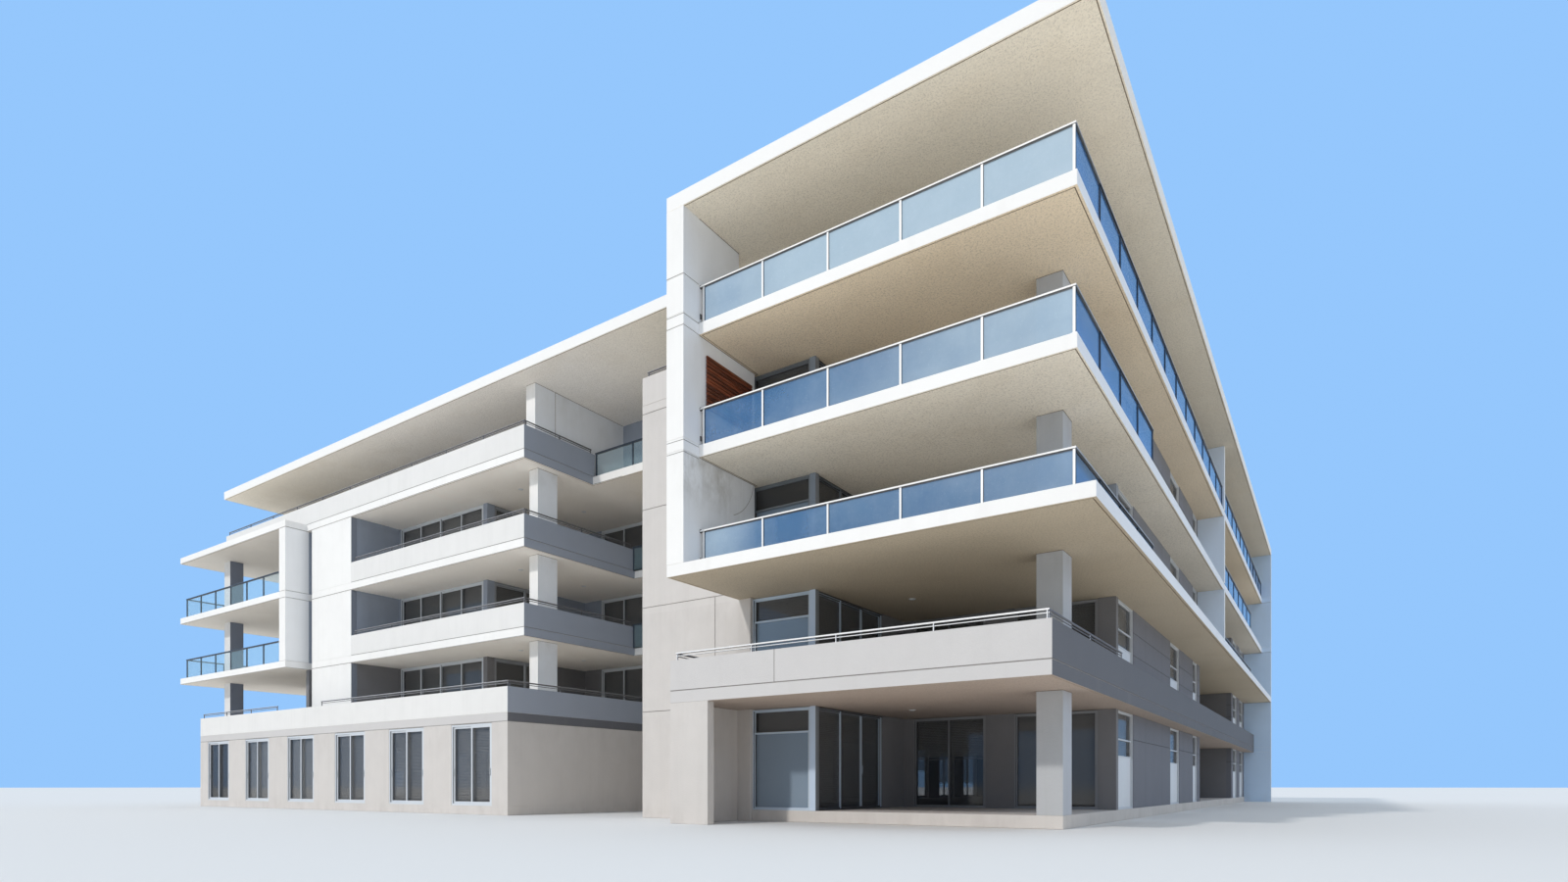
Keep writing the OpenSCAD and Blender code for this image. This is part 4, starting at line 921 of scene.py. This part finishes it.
# Tube rails on the parapets: height, start, end and number of posts
IN_HALF, TUBE_END = PARAPET_T / 2, 0.060
MEET, PAST = IN_HALF - TUBE_R, IN_HALF + TUBE_R + 0.001
LEDGE_TOP, PANEL_TOP = STOREY + 0.540, 4 * STOREY + 0.520
WING_TOP = {k: k * STOREY + 0.570 for k in (1, 2, 3, 4)}
PODIUM_LINE, WING_LINE, LEDGE_LINE = PODIUM_Y + IN_HALF, WING_Y + IN_HALF, LEDGE_Y + IN_HALF
LEDGE_LEFT, LEDGE_RIGHT = IN_HALF - LEDGE_L, -LEDGE_X - IN_HALF
FLANK, PODIUM_FLANK = -WING_R - IN_HALF, -PODIUM_R - IN_HALF
TUBES = (
    [(LEDGE_TOP, (-LEDGE_L + TUBE_END, LEDGE_LINE), (-LEDGE_X - MEET, LEDGE_LINE), 5),
     (LEDGE_TOP, (LEDGE_RIGHT, LEDGE_Y + PAST), (LEDGE_RIGHT, ROOM_END), 3),
     (LEDGE_TOP, (LEDGE_LEFT, LEDGE_Y + PAST), (LEDGE_LEFT, FIN_D - TUBE_END), 2),
     (PANEL_TOP, (-PANEL_L + TUBE_END, FIN_D + TUBE_END), (-PORTAL - TUBE_END, FIN_D + TUBE_END), 3),
     (WING_TOP[1], (-WING_L + TUBE_END, PODIUM_LINE), (-BAY_FIN_R, PODIUM_LINE), 4),
     (WING_TOP[1], (-WHITE_R, PODIUM_LINE), (-PODIUM_R - MEET, PODIUM_LINE), 6),
     (WING_TOP[1], (PODIUM_FLANK, PODIUM_Y + PAST), (PODIUM_FLANK, BRIDGE_Y - TUBE_END), 4),
     (WING_TOP[4], (-TERRACE + TUBE_END, WING_LINE), (-WING_R - MEET, WING_LINE), 11),
     (WING_TOP[4], (FLANK, WING_Y + PAST), (FLANK, BRIDGE_TOP), 3)]
    + [(WING_TOP[k], (-WHITE_R + TUBE_END, WING_LINE), (-WING_R - MEET, WING_LINE), 5) for k in (2, 3)]
    + [(WING_TOP[k], (FLANK, WING_Y + PAST), (FLANK, BRIDGE_Y - TUBE_END), 3) for k in (2, 3)])
POST_IN, PLATE_R, PLATE_TOP_R, PLATE_H = 0.020, 0.024, 0.022, 0.005
COLLAR_R, COLLAR_TOP_R, COLLAR_H, CAP_TOP_R, CAP_H = 0.013, 0.010, 0.010, 0.008, 0.004


# Round flanges and collars under the posts, and caps on the open tube ends
def rail_flanges():
    bm = bmesh.new()
    for height, start, end, count in TUBES:
        place = along(start, end, height)
        length = (Vector(end) - Vector(start)).length
        for i in range(count):
            x = POST_IN + i * (length - 2 * POST_IN) / (count - 1)
            disc(bm, PLATE_R, PLATE_H, place @ shift(x, 0, PLATE_H / 2), 20, PLATE_TOP_R)
            disc(bm, COLLAR_R, COLLAR_H, place @ shift(x, 0, PLATE_H + COLLAR_H / 2), 16, COLLAR_TOP_R)
        tube_end = place @ shift(0, 0, TUBE_H - TUBE_R) @ turn(-90, "Y")
        disc(bm, TUBE_R, CAP_H, tube_end @ shift(0, 0, CAP_H / 2), 20, CAP_TOP_R)
    piece(bm, "rail_flanges", STEEL)


# Sealed joints where the fin, the terrace blade and the columns meet the soffits
FIN_TOP_D, SEAL_UP = 1.12, 0.0005
BLADE_W, BLADE_FRONT, BLADE_JOINT_Y = 0.240, 1.90, 2.350
NEAR_COLUMN, WING_COLUMN = (-1.003, 1.517, -0.707, 1.873), (-10.178, 1.997, -9.947, 2.438)


def sealed_joints():
    bm = bmesh.new()
    for top in (3 * STOREY, 4 * STOREY, ROOF_Z):
        back = FIN_D if top < ROOF_Z else FIN_TOP_D
        block(bm, (-FIN_IN - 0.001, BALCONY_Y + 0.01, top - 0.005), (-FIN_IN + 0.004, back, top - SEAL_UP))
        block(bm, (-FIN_IN - 0.001, back, top - 0.006), (-PANEL_R, back + 0.004, top - SEAL_UP))
    left, right, roof_seal = -ATTIC_BLADE, -ATTIC_BLADE + BLADE_W, ROOF_Z - SEAL_UP
    block(bm, (right - 0.001, BLADE_FRONT, ROOF_Z - 0.006), (right + 0.003, ATTIC_COURT, roof_seal))
    block(bm, (right - 0.001, BLADE_JOINT_Y - 0.004, 4 * STOREY + SLAB),
          (right + 0.002, BLADE_JOINT_Y + 0.004, ROOF_Z - 0.001))
    block(bm, (left, BLADE_FRONT - 0.003, ROOF_Z - 0.006), (right, BLADE_FRONT + 0.001, roof_seal))
    for (x0, y0, x1, y1), height, storeys in ((NEAR_COLUMN, 0.006, (1, 2, 3, 4)),
                                              (WING_COLUMN, 0.005, (2, 3, 4))):
        for k in storeys:
            block(bm, (x0, y0, k * STOREY - height), (x1, y1, k * STOREY - SEAL_UP))
    piece(bm, "sealed_joints", SEALANT)


# Timber screen of level boards on the fin's inner face
SCREEN_Y0, SCREEN_Y1, SCREEN_Z0, SCREEN_Z1 = 0.42, 1.38, 4 * STOREY - 0.875, 4 * STOREY - 0.200
BOARDS, BOARD_FRONT, BOARD_BACK, BOARD_GAP, BATTEN_T, BATTEN_W = 15, 0.030, 0.012, 0.005, 0.013, 0.03


def timber_screen():
    bm = bmesh.new()
    x, pitch = -FIN_IN, (SCREEN_Z1 - SCREEN_Z0) / BOARDS
    for i in range(BOARDS):
        z = SCREEN_Z0 + i * pitch
        block(bm, (x + BOARD_BACK, SCREEN_Y0, z + BOARD_GAP),
              (x + BOARD_FRONT, SCREEN_Y1, z + pitch - BOARD_GAP))
    for y in (SCREEN_Y0 + 0.02, (SCREEN_Y0 + SCREEN_Y1) / 2, SCREEN_Y1 - 0.05):
        block(bm, (x, y, SCREEN_Z0), (x + BATTEN_T, y + BATTEN_W, SCREEN_Z1))
    soften(bm, 0.0025)
    piece(bm, "timber_boards", TIMBER, ("timber_screen",))


# Round lights let into the soffits
LIGHTS = [(-3.09, 2.77, k) for k in (1, 2)]
LIGHTS += [(x, y, k) for k in (2, 3, 4) for x, y in ((-11.07, 2.52), (-11.05, 4.07))]
TRIM_R, TRIM_TOP_R, TRIM_H, LENS_R, LENS_TOP_R, LENS_H = 0.045, 0.050, 0.006, 0.030, 0.026, 0.010


def downlights():
    bm = bmesh.new()
    for x, y, k in LIGHTS:
        z = k * STOREY
        disc(bm, TRIM_R, TRIM_H, shift(x, y, z - 0.003), 24, TRIM_TOP_R)
        disc(bm, LENS_R, LENS_H, shift(x, y, z - 0.006), 24, LENS_TOP_R)
    piece(bm, "downlights", PALE_FRAMES)


# CAD nodes that stay: a finish for each, and rounded arrises on what is cast or rendered
WELD_GAP, ARRIS, ARRIS_ANGLE = 0.0002, 0.004, math.radians(40)


def dress():
    finishes = {
        WHITE: ("wing_column", "terrace_blade"),
        PORTAL_WHITE: ("portal_fin",),
        FIN_WHITE: ("bay_fin",),
        WALL_WHITE: ("white_wall_panels", "wing_left_wall", "back_wall", "court_wall"),
        BLADE: ("blade_wall",),
        END_WALL: ("end_wall",),
        PARAPET: ("wing_parapet", "terrace_parapet", "podium_parapet"),
        LEDGE: ("near_parapet",),
        PANEL: ("panel_wall",),
        WARM: ("panel_block_wall", "ground_pier", "podium_wall", "ground_slab"),
        SHADED: ("recess_back_wall", "recess_side_wall", "second_recess_wall",
                 "loggia_front_wall", "loggia_side_wall", "attic_wall"),
        LONG_WALL: ("long_side_wall",),
        COLUMN: ("near_column",),
        BAY_COLUMN: ("bay_column",),
        POST_COAT: ("corner_post",),
        STEEL: ("tube_rails",),
        NEAR_WINDOW: ("near_glazing",),
        WINDOW: ("side_glazing", "wing_glazing", "rear_glazing", "attic_glazing"),
    }
    plain = (WINDOW, NEAR_WINDOW, STEEL)
    for finish, names in finishes.items():
        for name in names:
            node = nodes[name]
            node.data.materials.clear()
            node.data.materials.append(finish)
            if finish not in plain:
                weld = node.modifiers.new("weld", "WELD")
                weld.merge_threshold = WELD_GAP
                round_off = node.modifiers.new("arris", "BEVEL")
                round_off.width, round_off.segments = ARRIS, 2
                round_off.limit_method, round_off.angle_limit = "ANGLE", ARRIS_ANGLE


# Studio: floor, sky backdrop and sun
FLOOR_HALF, FLOOR_DROP = 400.0, 0.002
FLOOR_SEEN, FLOOR_BOUNCE = (0.80, 0.80, 0.80), (0.99, 0.92, 0.83)
BACKDROP, GLOW_LOW, GLOW_HIGH = (0.30, 0.57, 0.98), (0.36, 0.41, 0.47), (0.86, 0.96, 1.07)
SUN_TOWARD, SUN_ENERGY, SUN_WIDTH, SUN_COLOUR = (-0.20, -0.80, 0.52), 1.43, 3, (1.0, 0.95, 0.88)


def studio():
    grid = bmesh.new()
    bmesh.ops.create_grid(grid, x_segments=1, y_segments=1, size=FLOOR_HALF)
    mesh = bpy.data.meshes.new("floor")
    bmesh.ops.translate(grid, verts=grid.verts, vec=(0, 0, -FLOOR_DROP))
    grid.to_mesh(mesh)
    grid.free()
    floor = bpy.data.objects.new("floor", mesh)
    scene.collection.objects.link(floor)
    s = Shader("floor")
    seen = s.add("ShaderNodeLightPath", out="Is Camera Ray")
    mesh.materials.append(s.finish(Base_Color=s.mix(seen, FLOOR_BOUNCE, FLOOR_SEEN), Roughness=0.9,
                                   Specular_IOR_Level=0.1))

    world = bpy.data.worlds.new("studio")
    scene.world = world
    world.use_nodes = True
    w = Shader("world", world.node_tree)
    rays = ("Is Camera Ray", "Is Glossy Ray", "Is Transmission Ray")
    seen = any_of([w.add("ShaderNodeLightPath", out=ray) for ray in rays])
    way = w.add("ShaderNodeTexCoord", out="Generated")
    height = w.add("ShaderNodeSeparateXYZ", None, {0: way}, out="Z").sum("MAXIMUM", 0.0)
    colour = w.mix(seen, w.mix(height, GLOW_LOW, GLOW_HIGH), BACKDROP)
    w.feed(w.tree.nodes["Background"].inputs["Color"], colour)

    lamp = bpy.data.lights.new("key", "SUN")
    lamp.energy, lamp.angle, lamp.color = SUN_ENERGY, math.radians(SUN_WIDTH), SUN_COLOUR
    key = bpy.data.objects.new("key", lamp)
    key.rotation_euler = Vector(SUN_TOWARD).to_track_quat("Z", "Y").to_euler()
    scene.collection.objects.link(key)


# Camera: level, near the corner, with the photograph's upright shift
EYE, EYE_TURN, LENS, SENSOR, SHIFT = (13.09, -18.545, 0.47), 34.2, 18.954, 36.0, (0.0016, 0.2203)


def camera():
    data = bpy.data.cameras.new("camera")
    data.lens, data.sensor_width = LENS, SENSOR
    data.shift_x, data.shift_y = SHIFT
    data.clip_start, data.clip_end = 0.1, 1000.0
    eye = bpy.data.objects.new("camera", data)
    eye.location = EYE
    eye.rotation_euler = (math.radians(90), 0.0, math.radians(EYE_TURN))
    scene.collection.objects.link(eye)
    scene.camera = eye


camera()
studio()
dress()
floor_plates()
roof()
windows()
balustrades()
rail_flanges()
sealed_joints()
timber_screen()
downlights()
scene.view_settings.view_transform = "Standard"
